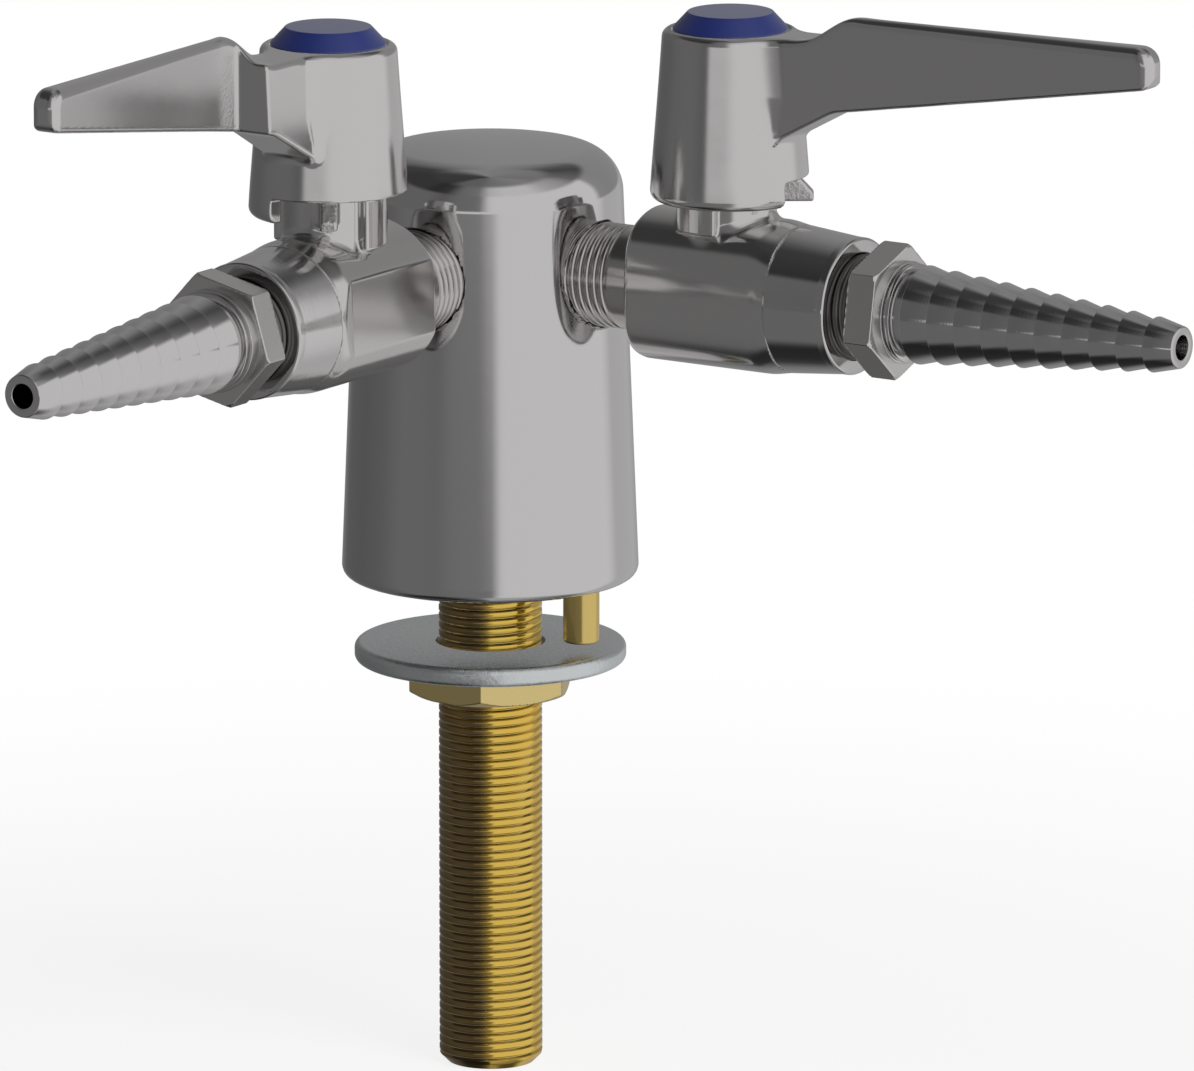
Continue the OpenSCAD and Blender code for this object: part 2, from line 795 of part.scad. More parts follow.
module right_nipple() { nipple(right_turn); }
module right_valve_body() { valve_body(right_turn); }
module right_end_piece() { end_piece(right_turn); }
module right_inlet_seat() { seat(right_turn, -1); }
module right_outlet_seat() { seat(right_turn, 1); }
module right_ball() { ball(right_turn); }
module right_stem() { stem(right_turn); }
module right_thrust_washer() { thrust_washer(right_turn); }
module right_stem_packing() { stem_packing(right_turn); }
module right_packing_nut() { packing_nut(right_turn); }
module right_handle() { handle(right_turn); }
module right_handle_screw() { handle_screw(right_turn); }
module right_index_cap() { index_cap(right_turn); }
module right_hose_nozzle() { hose_nozzle(right_turn, right_hex_turn); }
module left_nipple() { nipple(left_turn); }
module left_valve_body() { valve_body(left_turn); }
module left_end_piece() { end_piece(left_turn); }
module left_inlet_seat() { seat(left_turn, -1); }
module left_outlet_seat() { seat(left_turn, 1); }
module left_ball() { ball(left_turn); }
module left_stem() { stem(left_turn); }
module left_thrust_washer() { thrust_washer(left_turn); }
module left_stem_packing() { stem_packing(left_turn); }
module left_packing_nut() { packing_nut(left_turn); }
module left_handle() { handle(left_turn); }
module left_handle_screw() { handle_screw(left_turn); }
module left_index_cap() { index_cap(left_turn); }
module left_hose_nozzle() { hose_nozzle(left_turn, left_hex_turn); }

turret_body();
shank();
anti_rotation_pin();
deck_washer();
lock_nut();
right_nipple();
right_valve_body();
right_end_piece();
right_inlet_seat();
right_outlet_seat();
right_ball();
right_stem();
right_thrust_washer();
right_stem_packing();
right_packing_nut();
right_handle();
right_handle_screw();
right_index_cap();
right_hose_nozzle();
left_nipple();
left_valve_body();
left_end_piece();
left_inlet_seat();
left_outlet_seat();
left_ball();
left_stem();
left_thrust_washer();
left_stem_packing();
left_packing_nut();
left_handle();
left_handle_screw();
left_index_cap();
left_hose_nozzle();
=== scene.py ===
# %% [markdown]
# # A laboratory turret with two lever ball valves
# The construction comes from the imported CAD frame: where every piece sits, how big it is and what turns.
# This script dresses that frame. It builds each piece that shows with its rounded edges, its real threads
# and its finish, and lights it as a studio photograph would.
#
# Blender counts in metres. A fitting this size is easier to describe in millimetres, so the shapes below are
# worked out in millimetres and scaled once, when a mesh is made.

# %% Load the frame
import math
import time

import bpy
import numpy as np
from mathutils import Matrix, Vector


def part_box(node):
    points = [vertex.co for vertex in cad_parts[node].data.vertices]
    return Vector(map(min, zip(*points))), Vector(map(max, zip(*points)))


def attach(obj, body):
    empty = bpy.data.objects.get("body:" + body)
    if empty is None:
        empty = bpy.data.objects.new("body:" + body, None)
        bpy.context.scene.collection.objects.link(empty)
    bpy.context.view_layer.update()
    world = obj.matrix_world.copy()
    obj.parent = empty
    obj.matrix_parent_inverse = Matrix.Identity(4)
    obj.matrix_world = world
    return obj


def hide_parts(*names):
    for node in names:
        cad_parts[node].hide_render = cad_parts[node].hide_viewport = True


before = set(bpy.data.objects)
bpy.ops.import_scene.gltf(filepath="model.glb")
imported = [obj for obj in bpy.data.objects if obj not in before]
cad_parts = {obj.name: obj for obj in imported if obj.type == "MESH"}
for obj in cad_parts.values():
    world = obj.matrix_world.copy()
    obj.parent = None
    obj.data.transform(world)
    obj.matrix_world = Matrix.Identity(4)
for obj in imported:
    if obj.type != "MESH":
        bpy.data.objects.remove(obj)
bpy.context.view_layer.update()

MM = 0.001
clock = time.time()


def span(node):
    """Lowest and highest corner of a CAD node, in millimetres."""
    low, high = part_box(node)
    return np.array(low) / MM, np.array(high) / MM


def middle(node):
    low, high = span(node)
    return (low + high) / 2


# %% [markdown]
# ## Stations
# Everything hangs on a few places: the turret's own axis, the height of the water's way through the valves,
# the lever's axis, and the stations along a valve. They could be typed in, but here they are read from the
# boxes of the CAD nodes, so that a changed frame moves the dressed pieces with it. Both valves are the same
# part. Each is described once, with its flow along +X, and is then turned about the turret's axis to where it
# stands.

# %% Read the stations
flow_z = middle("right_nipple")[2]
hub_u = middle("right_index_cap")[0]
thread_r = span("shank")[1][0]
shank_low = span("shank")[0][2]
turret_r = span("turret_body")[1][0]
turret_top = span("turret_body")[1][2]
inlet_u = span("right_valve_body")[0][0]
seam_u = span("right_valve_body")[1][0]
end_u = span("right_end_piece")[1][0]
tip_u = span("right_hose_nozzle")[1][0]
lever_reach = span("right_handle")[1][0] - hub_u
VALVES = {"right": 0.0, "left": -90.0}
print("flow at z", round(flow_z, 2), "lever axis at", round(hub_u, 2), "seam at", round(seam_u, 2))

# %% [markdown]
# ## The camera
# A product photographer stands well back with a long lens, so that a small fitting doesn't bulge. The camera
# here is 2.44 m from the turret's axis and 12 degrees above it. Its place, its lens and its slight turn to
# the right were found by matching edges and circles of the fitting with the photograph.

# %% Place the camera
CAMERA_AWAY = 2.4371
CAMERA_ROUND = 33.628
CAMERA_HEIGHT = 0.5354
CAMERA_PITCH = 12.246
CAMERA_YAW = 0.415
LENS = 454.7
SENSOR = 36.0

camera = bpy.data.objects.new("camera", bpy.data.cameras.new("camera"))
bpy.context.scene.collection.objects.link(camera)
camera.data.sensor_fit = "HORIZONTAL"
camera.data.sensor_width = SENSOR
camera.data.lens = LENS
camera.data.clip_start = 0.05
camera.data.clip_end = 50
facing = math.radians(CAMERA_ROUND)
camera.location = (CAMERA_AWAY * math.sin(facing), -CAMERA_AWAY * math.cos(facing), CAMERA_HEIGHT)
camera.rotation_euler = (math.radians(90 - CAMERA_PITCH), 0, math.radians(CAMERA_ROUND - CAMERA_YAW))
bpy.context.scene.camera = camera
bpy.context.scene.view_settings.view_transform = "Standard"
print("camera at", [round(c, 3) for c in camera.location])

# %% [markdown]
# ## Node helpers
# A material is a small network of shader nodes. These helpers keep the cells below short: one makes a node
# with its input values, one joins two sockets, and one makes an empty node group with named inputs and
# outputs, because an effect that several finishes share is built once and reused.

# %% Make nodes and links
def add_node(tree, kind, inputs=None, **settings):
    """Adds a shader node. settings are its own properties, inputs the values of its sockets."""
    made = tree.nodes.new(kind)
    for key, value in settings.items():
        setattr(made, key, value)
    for key, value in (inputs or {}).items():
        made.inputs[key].default_value = value
    return made


def join(tree, source, target):
    tree.links.new(source, target)


def maths(tree, operation, first, second):
    """A Math node. first and second are numbers or sockets."""
    made = add_node(tree, "ShaderNodeMath", operation=operation)
    for place, value in enumerate((first, second)):
        if isinstance(value, (int, float)):
            made.inputs[place].default_value = value
        else:
            join(tree, value, made.inputs[place])
    return made.outputs[0]


def step_between(tree, source, low, high):
    """A soft step of a socket's value from 0 at low to 1 at high."""
    made = add_node(tree, "ShaderNodeMapRange", {"From Min": low, "From Max": high},
                    interpolation_type="SMOOTHSTEP")
    join(tree, source, made.inputs["Value"])
    return made.outputs["Result"]


def mix_colours(tree, share, first, second):
    """Mixes two colours. Each is a socket or four numbers."""
    made = add_node(tree, "ShaderNodeMix", data_type="RGBA")
    join(tree, share, made.inputs["Factor"])
    for label, colour in (("A", first), ("B", second)):
        if isinstance(colour, tuple):
            made.inputs[label].default_value = colour
        else:
            join(tree, colour, made.inputs[label])
    return made.outputs["Result"]


print("node helpers are ready")

# %% Make groups and materials
def new_group(name, inputs, outputs):
    """An empty shader node group. inputs are (name, kind, default) rows, outputs (name, kind) rows."""
    group = bpy.data.node_groups.new(name, "ShaderNodeTree")
    for label, kind, default in inputs:
        socket = group.interface.new_socket(label, in_out="INPUT", socket_type=kind)
        socket.default_value = default
    for label, kind in outputs:
        group.interface.new_socket(label, in_out="OUTPUT", socket_type=kind)
    return group, group.nodes.new("NodeGroupInput"), group.nodes.new("NodeGroupOutput")


def use_group(tree, group, values):
    made = add_node(tree, "ShaderNodeGroup", node_tree=group)
    for key, value in values.items():
        made.inputs[key].default_value = value
    return made


def new_material(name):
    """An empty material with a Principled BSDF. Returns the material, its tree and the shader."""
    made = bpy.data.materials.new(name)
    made.use_nodes = True
    tree = made.node_tree
    return made, tree, tree.nodes["Principled BSDF"]


print("group and material helpers are ready")

# %% [markdown]
# ## The studio
# Chrome has no colour of its own: it shows the room. So the room is worked out from what the fitting shows.
# On every upright surface, what faces straight on or to the right is light, and what faces left is dark, with
# a mid grey behind. That is one large light panel on the right, a dark flag on the left and a grey wall.
#
# The room could be built from cards and lamps. Here it is the world's colour instead, mixed from the
# direction of a ray, because then each part of it can be set by itself. It stays where it is when the camera
# moves. It has five belts, from the floor under the fitting to the ceiling. Each belt is a ramp of grey
# around the room, given as (degrees to the right of straight on, brightness). Overhead on the left it is
# nearly black.

# %% Set the belts of the room
ROOM_TINT = (1.0, 0.99, 0.99)
ROOM_OVERHEAD = [(-180, .26), (-165, .28), (-150, .16), (-136, .09), (-120, .055), (-62, .05), (-45, .14),
                 (-15, .145), (0, .19), (30, .22), (60, .25), (90, .20), (180, .26)]
ROOM_HIGH = [(-180, .28), (-166, .20), (-145, .06), (-118, .045), (-90, .045), (-74, .045), (-62, .03),
             (-46, .045), (-32, .16), (-12, .20), (0, .52), (15, .60), (45, .60), (62, .45), (90, .33),
             (105, .16), (135, .07), (150, .11), (166, .22), (180, .28)]
ROOM_ABOVE = [(-180, .285), (-168, .20), (-150, .13), (-120, .13), (-100, .15), (-60, .15), (-45, .12),
              (-30, .165), (-14, .175), (-9, .20), (-1, .60), (3, .655), (104, .665), (111, .30), (125, .275),
              (180, .285)]
ROOM_BELOW = [(-180, .28), (-166, .19), (-150, .12), (-120, .112), (-95, .13), (-75, .165), (-45, .16),
              (-25, .182), (-5, .188), (1, .21), (8, .61), (12, .655), (104, .665), (110, .60), (117, .485),
              (150, .48), (165, .38), (180, .28)]
ROOM_UNDER = [(-180, .29), (-165, .13), (-150, .05), (-130, .03), (-60, .02), (-45, .06), (-15, .15),
              (0, .40), (45, .40), (75, .30), (105, .20), (120, .09), (150, .07), (165, .27), (180, .29)]
BELTS = (ROOM_UNDER, ROOM_BELOW, ROOM_ABOVE, ROOM_HIGH, ROOM_OVERHEAD)
print("room stops:", sum(len(belt) for belt in BELTS))

# %% [markdown]
# ## Where a ray goes
# The world's Generated coordinate is the direction of the ray. Two dot products say how far it goes toward
# the photographer and how far to the right, and their arctangent is the bearing around the room. The height
# of the direction then says which belt it meets.

# %% Measure a ray's bearing and height
world = bpy.data.worlds.new("studio")
world.use_nodes = True
bpy.context.scene.world = world
room = world.node_tree
room.nodes.clear()
direction = add_node(room, "ShaderNodeTexCoord").outputs["Generated"]


def along(x, y):
    """How far the ray goes along a level direction."""
    made = add_node(room, "ShaderNodeVectorMath", {1: (x, y, 0)}, operation="DOT_PRODUCT")
    join(room, direction, made.inputs[0])
    return made.outputs["Value"]


to_the_right = along(math.cos(facing), math.sin(facing))
to_the_front = along(math.sin(facing), -math.cos(facing))
azimuth = maths(room, "ARCTAN2", to_the_right, to_the_front)
turns = maths(room, "ADD", maths(room, "DIVIDE", azimuth, 2 * math.pi), 0.5)
height = add_node(room, "ShaderNodeSeparateXYZ")
join(room, direction, height.inputs[0])
up = height.outputs["Z"]
print("nodes that measure a ray:", len(room.nodes))

# %% [markdown]
# ## Stacking the belts
# Neighbouring belts run into each other over a short height, as the edges of real panels do when they stand
# out of focus. Two details are set apart, because the photograph shows them. On the far right the lower belt
# reaches a little higher, like the edge of a bench. On the left some light gets past the flag in a narrow
# strip, at about the height of the fitting.

# %% Stack the belts
BELT_EDGES = [(-0.87, -0.74), (-0.14, -0.08), (0.58, 0.68), (0.84, 0.92)]
BENCH_FROM, BENCH_RISE = (88, 98), 0.1
STRIP_LEFT, STRIP_RIGHT = (-41, -33), (4, 0)
STRIP_LOW, STRIP_HIGH = (-0.102, -0.090), (0.02, -0.02)
STRIP_LEVEL = 0.64


def belt_colour(belt):
    """The colour of one belt at the ray's bearing."""
    ramp = add_node(room, "ShaderNodeValToRGB")
    stops = ramp.color_ramp.elements
    for spot, (degrees, level) in enumerate(belt):
        stop = stops[spot] if spot < 2 else stops.new(1.0)
        stop.position = 0.5 + degrees / 360
        stop.color = [level * c for c in ROOM_TINT] + [1]
    join(room, turns, ramp.inputs["Fac"])
    return ramp.outputs["Color"]


def bearing_step(degrees):
    return step_between(room, azimuth, math.radians(degrees[0]), math.radians(degrees[1]))


bench = maths(room, "SUBTRACT", up, maths(room, "MULTIPLY", bearing_step(BENCH_FROM), BENCH_RISE))
walls = belt_colour(BELTS[0])
for belt, edge in zip(BELTS[1:], BELT_EDGES):
    level = bench if belt is ROOM_ABOVE else up
    walls = mix_colours(room, step_between(room, level, *edge), walls, belt_colour(belt))
strip_width = maths(room, "MULTIPLY", bearing_step(STRIP_LEFT), bearing_step(STRIP_RIGHT))
strip_height = maths(room, "MULTIPLY", step_between(room, up, *STRIP_LOW),
                     step_between(room, up, *STRIP_HIGH))
strip_light = add_node(room, "ShaderNodeRGB")
strip_light.outputs[0].default_value = (*[STRIP_LEVEL * c for c in ROOM_TINT], 1)
walls = mix_colours(room, maths(room, "MULTIPLY", strip_width, strip_height), walls, strip_light.outputs[0])
print("belts:", len(BELTS), "nodes in the room:", len(room.nodes))

# %% [markdown]
# ## The white behind
# A catalogue picture has a plain white background. Light Path tells the shader which kind of ray is asking:
# the camera's own rays see white, and the others see the room. The metal keeps mirroring the room, because
# the metal in the photograph doesn't show a white surround either.

# %% Show white to the camera
paths = add_node(room, "ShaderNodeLightPath")
seen = add_node(room, "ShaderNodeBackground", {"Color": (1, 1, 1, 1), "Strength": 1.0})
lit = add_node(room, "ShaderNodeBackground", {"Strength": 1.0})
join(room, walls, lit.inputs["Color"])
backdrop = add_node(room, "ShaderNodeMixShader")
sees_white = maths(room, "MAXIMUM", paths.outputs["Is Camera Ray"], paths.outputs["Is Transmission Ray"])
join(room, sees_white, backdrop.inputs["Fac"])
join(room, lit.outputs[0], backdrop.inputs[1])
join(room, seen.outputs[0], backdrop.inputs[2])
join(room, backdrop.outputs[0], add_node(room, "ShaderNodeOutputWorld").inputs["Surface"])
print("world:", world.name, "with", len(room.links), "links")

# %% [markdown]
# ## The lamp
# One large soft lamp, high on the right, gives the matt surfaces their form and the floor a shadow. Polished
# chrome would show it as a white spot that the photograph doesn't have, so the lamp is hidden from glossy
# rays.

# %% Add the lamp
LAMP_PLACE = (1.5, -0.5, 1.7)
LAMP_AIM = (0, 0, 0.03)
LAMP_SIZE = 1.0
LAMP_POWER = 22

key = bpy.data.objects.new("key_lamp", bpy.data.lights.new("key_lamp", "AREA"))
key.data.shape = "DISK"
key.data.size = LAMP_SIZE
key.data.energy = LAMP_POWER
key.location = LAMP_PLACE
key.rotation_euler = (Vector(LAMP_AIM) - key.location).to_track_quat("-Z", "Y").to_euler()
key.visible_glossy = False
bpy.context.scene.collection.objects.link(key)
print("lamp at", LAMP_PLACE, "with", LAMP_POWER, "W")

# %% [markdown]
# ## The floor
# The shank stands on a pale round table. Most of its white comes from its own colour, so that it matches the
# background, and the rest is lit, so that it takes a shadow. Toward its rim it turns fully white, and no
# edge shows. It is hidden from glossy rays too: the room's lowest belts already stand for it in the metal.

# %% Add the floor
FLOOR_RADIUS = 0.34
FLOOR_CORNERS = 128
FLOOR_GREY = (0.86, 0.86, 0.86, 1)
FADE_FROM, FADE_TO = 0.10, FLOOR_RADIUS - 0.01
WHITE_SHARE = 0.86

floor_mesh = bpy.data.meshes.new("floor")
corners = [2 * math.pi * k / FLOOR_CORNERS for k in range(FLOOR_CORNERS)]
rim = [(FLOOR_RADIUS * math.cos(a), FLOOR_RADIUS * math.sin(a), shank_low * MM) for a in corners]
floor_mesh.from_pydata(rim, [], [list(range(FLOOR_CORNERS))])
floor = bpy.data.objects.new("floor", floor_mesh)
bpy.context.scene.collection.objects.link(floor)
floor.visible_glossy = False

paper, tree, shader = new_material("paper_floor")
shader.inputs["Base Color"].default_value = FLOOR_GREY
shader.inputs["Roughness"].default_value = 0.9
white = add_node(tree, "ShaderNodeEmission", {"Color": (1, 1, 1, 1), "Strength": 1.0})
paths = add_node(tree, "ShaderNodeLightPath")
away = add_node(tree, "ShaderNodeVectorMath", operation="LENGTH")
join(tree, add_node(tree, "ShaderNodeTexCoord").outputs["Object"], away.inputs[0])
fade_span = {"From Min": FADE_FROM, "From Max": FADE_TO, "To Min": WHITE_SHARE, "To Max": 1.0}
fade = add_node(tree, "ShaderNodeMapRange", fade_span, interpolation_type="SMOOTHSTEP")
join(tree, away.outputs["Value"], fade.inputs["Value"])
white_share = maths(tree, "MULTIPLY", paths.outputs["Is Camera Ray"], fade.outputs["Result"])
blend = add_node(tree, "ShaderNodeMixShader")
join(tree, white_share, blend.inputs["Fac"])
join(tree, shader.outputs[0], blend.inputs[1])
join(tree, white.outputs[0], blend.inputs[2])
join(tree, blend.outputs[0], tree.nodes["Material Output"].inputs["Surface"])
floor.data.materials.append(paper)
print("floor at z", round(shank_low, 1), "mm")

# %% [markdown]
# ## Shapes as distances
# The turret, the valve bodies and the handles are castings: every edge is rounded and every corner runs into
# its neighbour in a fillet. Box modelling needs a ring of bevels for each of them. Here such a shape is
# written as a distance instead, a formula that is negative in the metal and positive outside it. Two
# distances can be joined with a fillet or cut with a rounded edge of an exact radius, which is just what a
# pattern maker does with wax and sandpaper.

# %% Round joins and cuts
def fillet_join(a, b, radius):
    """The union of two distances, with a fillet of that radius in the corner between them."""
    reach = np.sqrt(np.maximum(radius - a, 0) ** 2 + np.maximum(radius - b, 0) ** 2)
    return np.maximum(radius, np.minimum(a, b)) - reach


def round_cut(a, b, radius):
    """What two distances have in common, with the edge between them rounded to that radius."""
    reach = np.sqrt(np.maximum(radius + a, 0) ** 2 + np.maximum(radius + b, 0) ** 2)
    return np.minimum(-radius, np.maximum(a, b)) + reach


def carve(a, b, radius):
    """Takes b out of a, and breaks the edge."""
    return round_cut(a, -b, radius)


def ease(value, low, high):
    """Rises smoothly from 0 at low to 1 at high."""
    t = np.clip((value - low) / (high - low), 0, 1)
    return t * t * (3 - 2 * t)


in_corner = float(fillet_join(0.5, 0.5, 1.0))
print("half a millimetre off two walls with a 1 mm fillet, the metal is", round(in_corner, 3), "mm away")

# %% [markdown]
# ## From a distance to a mesh
# The formula is sampled on a grid. Wherever it changes sign between two neighbouring samples, the skin runs
# between them, and the four cells around that edge get a face. This is called a surface net. Its points are
# then moved onto the exact skin, and the direction in which the formula grows gives each of them a true
# normal. Polished chrome needs that: it shows every wobble.

# %% Lay a net over a distance
def surface_net(distance, low, high, cell):
    """Vertices and quads of the surface where distance is 0, sampled on a grid of that cell size."""
    axes = [np.arange(a - cell, b + 2 * cell, cell) for a, b in zip(low, high)]
    x, y, z = np.meshgrid(*axes, indexing="ij", sparse=True)
    field = np.broadcast_to(distance(x, y, z), [len(a) for a in axes])
    shape = np.array(field.shape)
    stride = np.array([shape[1] * shape[2], shape[2], 1])
    cells, points, quads = [], [], []
    for axis in range(3):
        u, v = [a for a in range(3) if a != axis]
        start = [slice(None)] * 3
        stop = [slice(None)] * 3
        start[axis], stop[axis] = slice(0, -1), slice(1, None)
        first, second = field[tuple(start)], field[tuple(stop)]
        spots = np.argwhere((first < 0) != (second < 0))
        spots = spots[(spots[:, u] > 0) & (spots[:, v] > 0)]
        a, b = first[tuple(spots.T)], second[tuple(spots.T)]
        place = spots.astype(float)
        place[:, axis] += a / (a - b)
        home = spots @ stride
        around = np.stack([home - stride[u] - stride[v], home - stride[v], home, home - stride[u]], 1)
        if axis == 1:
            around = around[:, ::-1]
        quads.append(np.where((a < 0)[:, None], around, around[:, ::-1]))
        cells.append(around.ravel())
        points.append(np.repeat(place, 4, axis=0))
    cells, points, quads = np.concatenate(cells), np.concatenate(points), np.concatenate(quads)
    used, index = np.unique(cells, return_inverse=True)
    count = np.bincount(index)
    verts = np.stack([np.bincount(index, points[:, k]) / count for k in range(3)], 1)
    verts = verts * cell + np.array([a[0] for a in axes])
    return verts, np.searchsorted(used, quads)


print("the net is ready")

# %% Settle the net on the skin
SETTLING_STEPS = 3
LEAST_SLOPE = 0.2


def slope(distance, p, step=0.02):
    """The distance's gradient at points p."""
    parts = []
    for axis in range(3):
        move = np.zeros(3)
        move[axis] = step
        a, b = p + move, p - move
        parts.append((distance(*a.T) - distance(*b.T)) / (2 * step))
    return np.stack(parts, 1)


def cast_mesh(distance, low, high, cell):
    """Meshes a distance, settles its points on the skin and returns vertices, faces and true normals."""
    verts, faces = surface_net(distance, low, high, cell)
    for _ in range(SETTLING_STEPS):
        way = slope(distance, verts)
        size = np.maximum((way ** 2).sum(1), LEAST_SLOPE)
        move = distance(*verts.T) / size
        verts = verts - way * np.clip(move, -cell / 2, cell / 2)[:, None]
    way = slope(distance, verts)
    return verts, faces, way / np.linalg.norm(way, axis=1)[:, None]


def test_ball(x, y, z):
    return np.sqrt(x * x + y * y + z * z) - 2.0


verts, faces, normals = cast_mesh(test_ball, (-2, -2, -2), (2, 2, 2), 0.5)
off_skin = np.abs(test_ball(*verts.T)).max()
print("a test ball has", len(verts), "points, at most", f"{off_skin:.0e}", "mm off its skin")

# %% [markdown]
# ## Pieces
# A finished piece is one mesh object at the origin, with its place in its vertices, as the CAD nodes are. It
# rides on a body of the frame, stands for a CAD node and takes the finish it is given.

# %% Make a piece
def about_turret(points, angle):
    """Turns points about the turret's axis."""
    c, s = math.cos(math.radians(angle)), math.sin(math.radians(angle))
    return points @ np.array([[c, s, 0], [-s, c, 0], [0, 0, 1]])


def make_piece(name, verts, faces, material, body, node, normals=None, sharp=35, marks=None):
    """Builds the mesh object from millimetres and gives it to its body. Without normals, edges sharper than
    the angle sharp stay crisp. marks are named numbers per vertex, which a material can read."""
    mesh = bpy.data.meshes.new(name)
    mesh.from_pydata((np.asarray(verts) * MM).tolist(), [], np.asarray(faces).tolist())
    mesh.polygons.foreach_set("use_smooth", [True] * len(mesh.polygons))
    if normals is not None:
        mesh.normals_split_custom_set_from_vertices(normals.tolist())
    else:
        mesh.set_sharp_from_angle(angle=math.radians(sharp))
    mesh.materials.append(material)
    for label, values in (marks or {}).items():
        mark = mesh.attributes.new(label, "FLOAT", "POINT")
        mark.data.foreach_set("value", np.asarray(values, dtype=np.float32))
    piece = bpy.data.objects.new(name, mesh)
    bpy.context.scene.collection.objects.link(piece)
    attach(piece, body)
    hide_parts(node)
    print(f"{name}: {len(mesh.vertices)} points, {len(mesh.polygons)} faces")
    return piece


print("CAD nodes to dress:", len(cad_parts))

# %% [markdown]
# ## Turned pieces
# Nozzles, end pieces, caps and the washer come off a lathe, so they are a profile spun about an axis. A
# corner of the profile may have a radius, and then it becomes a short arc. Blender's Screw modifier could
# spin it too, but here the script knows the station of every point, and the lathe's rings need that later.

# %% Round the corners of a profile
def round_corners(points, steps=6):
    """Points are (station, radius) or (station, radius, corner radius). Corners with a radius become arcs."""
    made = []
    count = len(points)
    for i, point in enumerate(points):
        here = np.array(point[:2], float)
        if len(point) < 3:
            made.append(here)
            continue
        before = np.array(points[i - 1][:2], float) - here
        after = np.array(points[(i + 1) % count][:2], float) - here
        before /= np.linalg.norm(before)
        after /= np.linalg.norm(after)
        half = math.acos(np.clip(before @ after, -1, 1)) / 2
        reach = point[2] / math.tan(half)
        centre = here + (before + after) / np.linalg.norm(before + after) * point[2] / math.sin(half)
        first, last = here + before * reach - centre, here + after * reach - centre
        turn = math.atan2(first[0] * last[1] - first[1] * last[0], first @ last)
        for k in range(steps + 1):
            c, s = math.cos(turn * k / steps), math.sin(turn * k / steps)
            made.append(centre + [first[0] * c - first[1] * s, first[0] * s + first[1] * c])
    return np.array(made)


softened = round_corners([(0, 0), (0, 2), (2, 2, 0.5), (2, 0)])
print("a square with one round corner has", len(softened), "points")

# %% Spin a profile
def spin(profile, segments=160):
    """Vertices and faces of a closed profile of (station, radius) points, spun about +X."""
    rows = len(profile)
    angle = np.linspace(0, 2 * math.pi, segments, endpoint=False)
    x = np.repeat(profile[:, 0], segments)
    r = np.repeat(profile[:, 1], segments)
    turn = np.tile(angle, rows)
    verts = np.stack([x, r * np.cos(turn), r * np.sin(turn)], 1)
    faces = []
    for row in range(rows):
        here, below = row * segments, (row + 1) % rows * segments
        for k in range(segments):
            nxt = (k + 1) % segments
            faces.append((here + k, here + nxt, below + nxt, below + k))
    return verts, faces


def stand_up(verts):
    """Turns a shape spun about +X so that it stands about +Z."""
    return np.stack([-verts[:, 2], verts[:, 1], verts[:, 0]], 1)


print("helpers for shapes are ready after", round(time.time() - clock, 1), "s")

# %% [markdown]
# ## Surface effects
# The fitting is brass under chrome. The plating is mirror-like but not perfect, and what is left on it tells
# how each piece was made. Polishing leaves the castings slightly wavy, a lathe leaves fine rings, and a few
# hidden corners stay as rough as they were cast. Each of these effects tilts the normal a little. Several
# finishes share them, so each is a node group with its own inputs.

# %% The grain of polished or plain metal
FLOAT, VECTOR = "NodeSocketFloat", "NodeSocketVector"


def bump_by(group, given, height):
    """A Bump node whose height is a socket times the group's own height in millimetres."""
    made = add_node(group, "ShaderNodeBump", {"Strength": 1.0})
    join(group, height, made.inputs["Height"])
    join(group, maths(group, "MULTIPLY", given.outputs["Height mm"], MM), made.inputs["Distance"])
    return made


grain_group, given, result = new_group(
    "fine_grain", [("Size mm", FLOAT, 1.0), ("Strength", FLOAT, 0.1), ("Height mm", FLOAT, 0.02)],
    [("Normal", VECTOR), ("Mask", FLOAT)])
noise = add_node(grain_group, "ShaderNodeTexNoise", {"Detail": 3.0, "Roughness": 0.55})
join(grain_group, add_node(grain_group, "ShaderNodeTexCoord").outputs["Object"], noise.inputs["Vector"])
join(grain_group, maths(grain_group, "DIVIDE", 1000.0, given.outputs["Size mm"]), noise.inputs["Scale"])
bump = bump_by(grain_group, given, noise.outputs["Fac"])
join(grain_group, given.outputs["Strength"], bump.inputs["Strength"])
join(grain_group, bump.outputs[0], result.inputs["Normal"])
join(grain_group, noise.outputs["Fac"], result.inputs["Mask"])
print(grain_group.name, "has", len(grain_group.nodes), "nodes")

# %% [markdown]
# ## Lathe rings
# A turning tool cuts one fine ring after another, and each is as deep all the way round. Noise in one
# dimension does the same when it is read at the station along the lathe's axis. Each vertex of a turned piece
# carries that station as an attribute, so the rings follow the piece wherever it points.

# %% Rings that a lathe leaves
ring_group, given, result = new_group(
    "lathe_rings", [("Rings per mm", FLOAT, 4.0), ("Height mm", FLOAT, 0.004), ("Normal", VECTOR, (0, 0, 0))],
    [("Normal", VECTOR)])
station = add_node(ring_group, "ShaderNodeAttribute", attribute_name="station")
cut = add_node(ring_group, "ShaderNodeTexNoise", {"Scale": 1.0, "Detail": 2.0, "Roughness": 0.6},
               noise_dimensions="1D")
join(ring_group, maths(ring_group, "MULTIPLY", station.outputs["Fac"], given.outputs["Rings per mm"]),
     cut.inputs["W"])
bump = bump_by(ring_group, given, cut.outputs["Fac"])
join(ring_group, given.outputs["Normal"], bump.inputs["Normal"])
join(ring_group, bump.outputs[0], result.inputs["Normal"])
print(ring_group.name, "has", len(ring_group.nodes), "nodes")

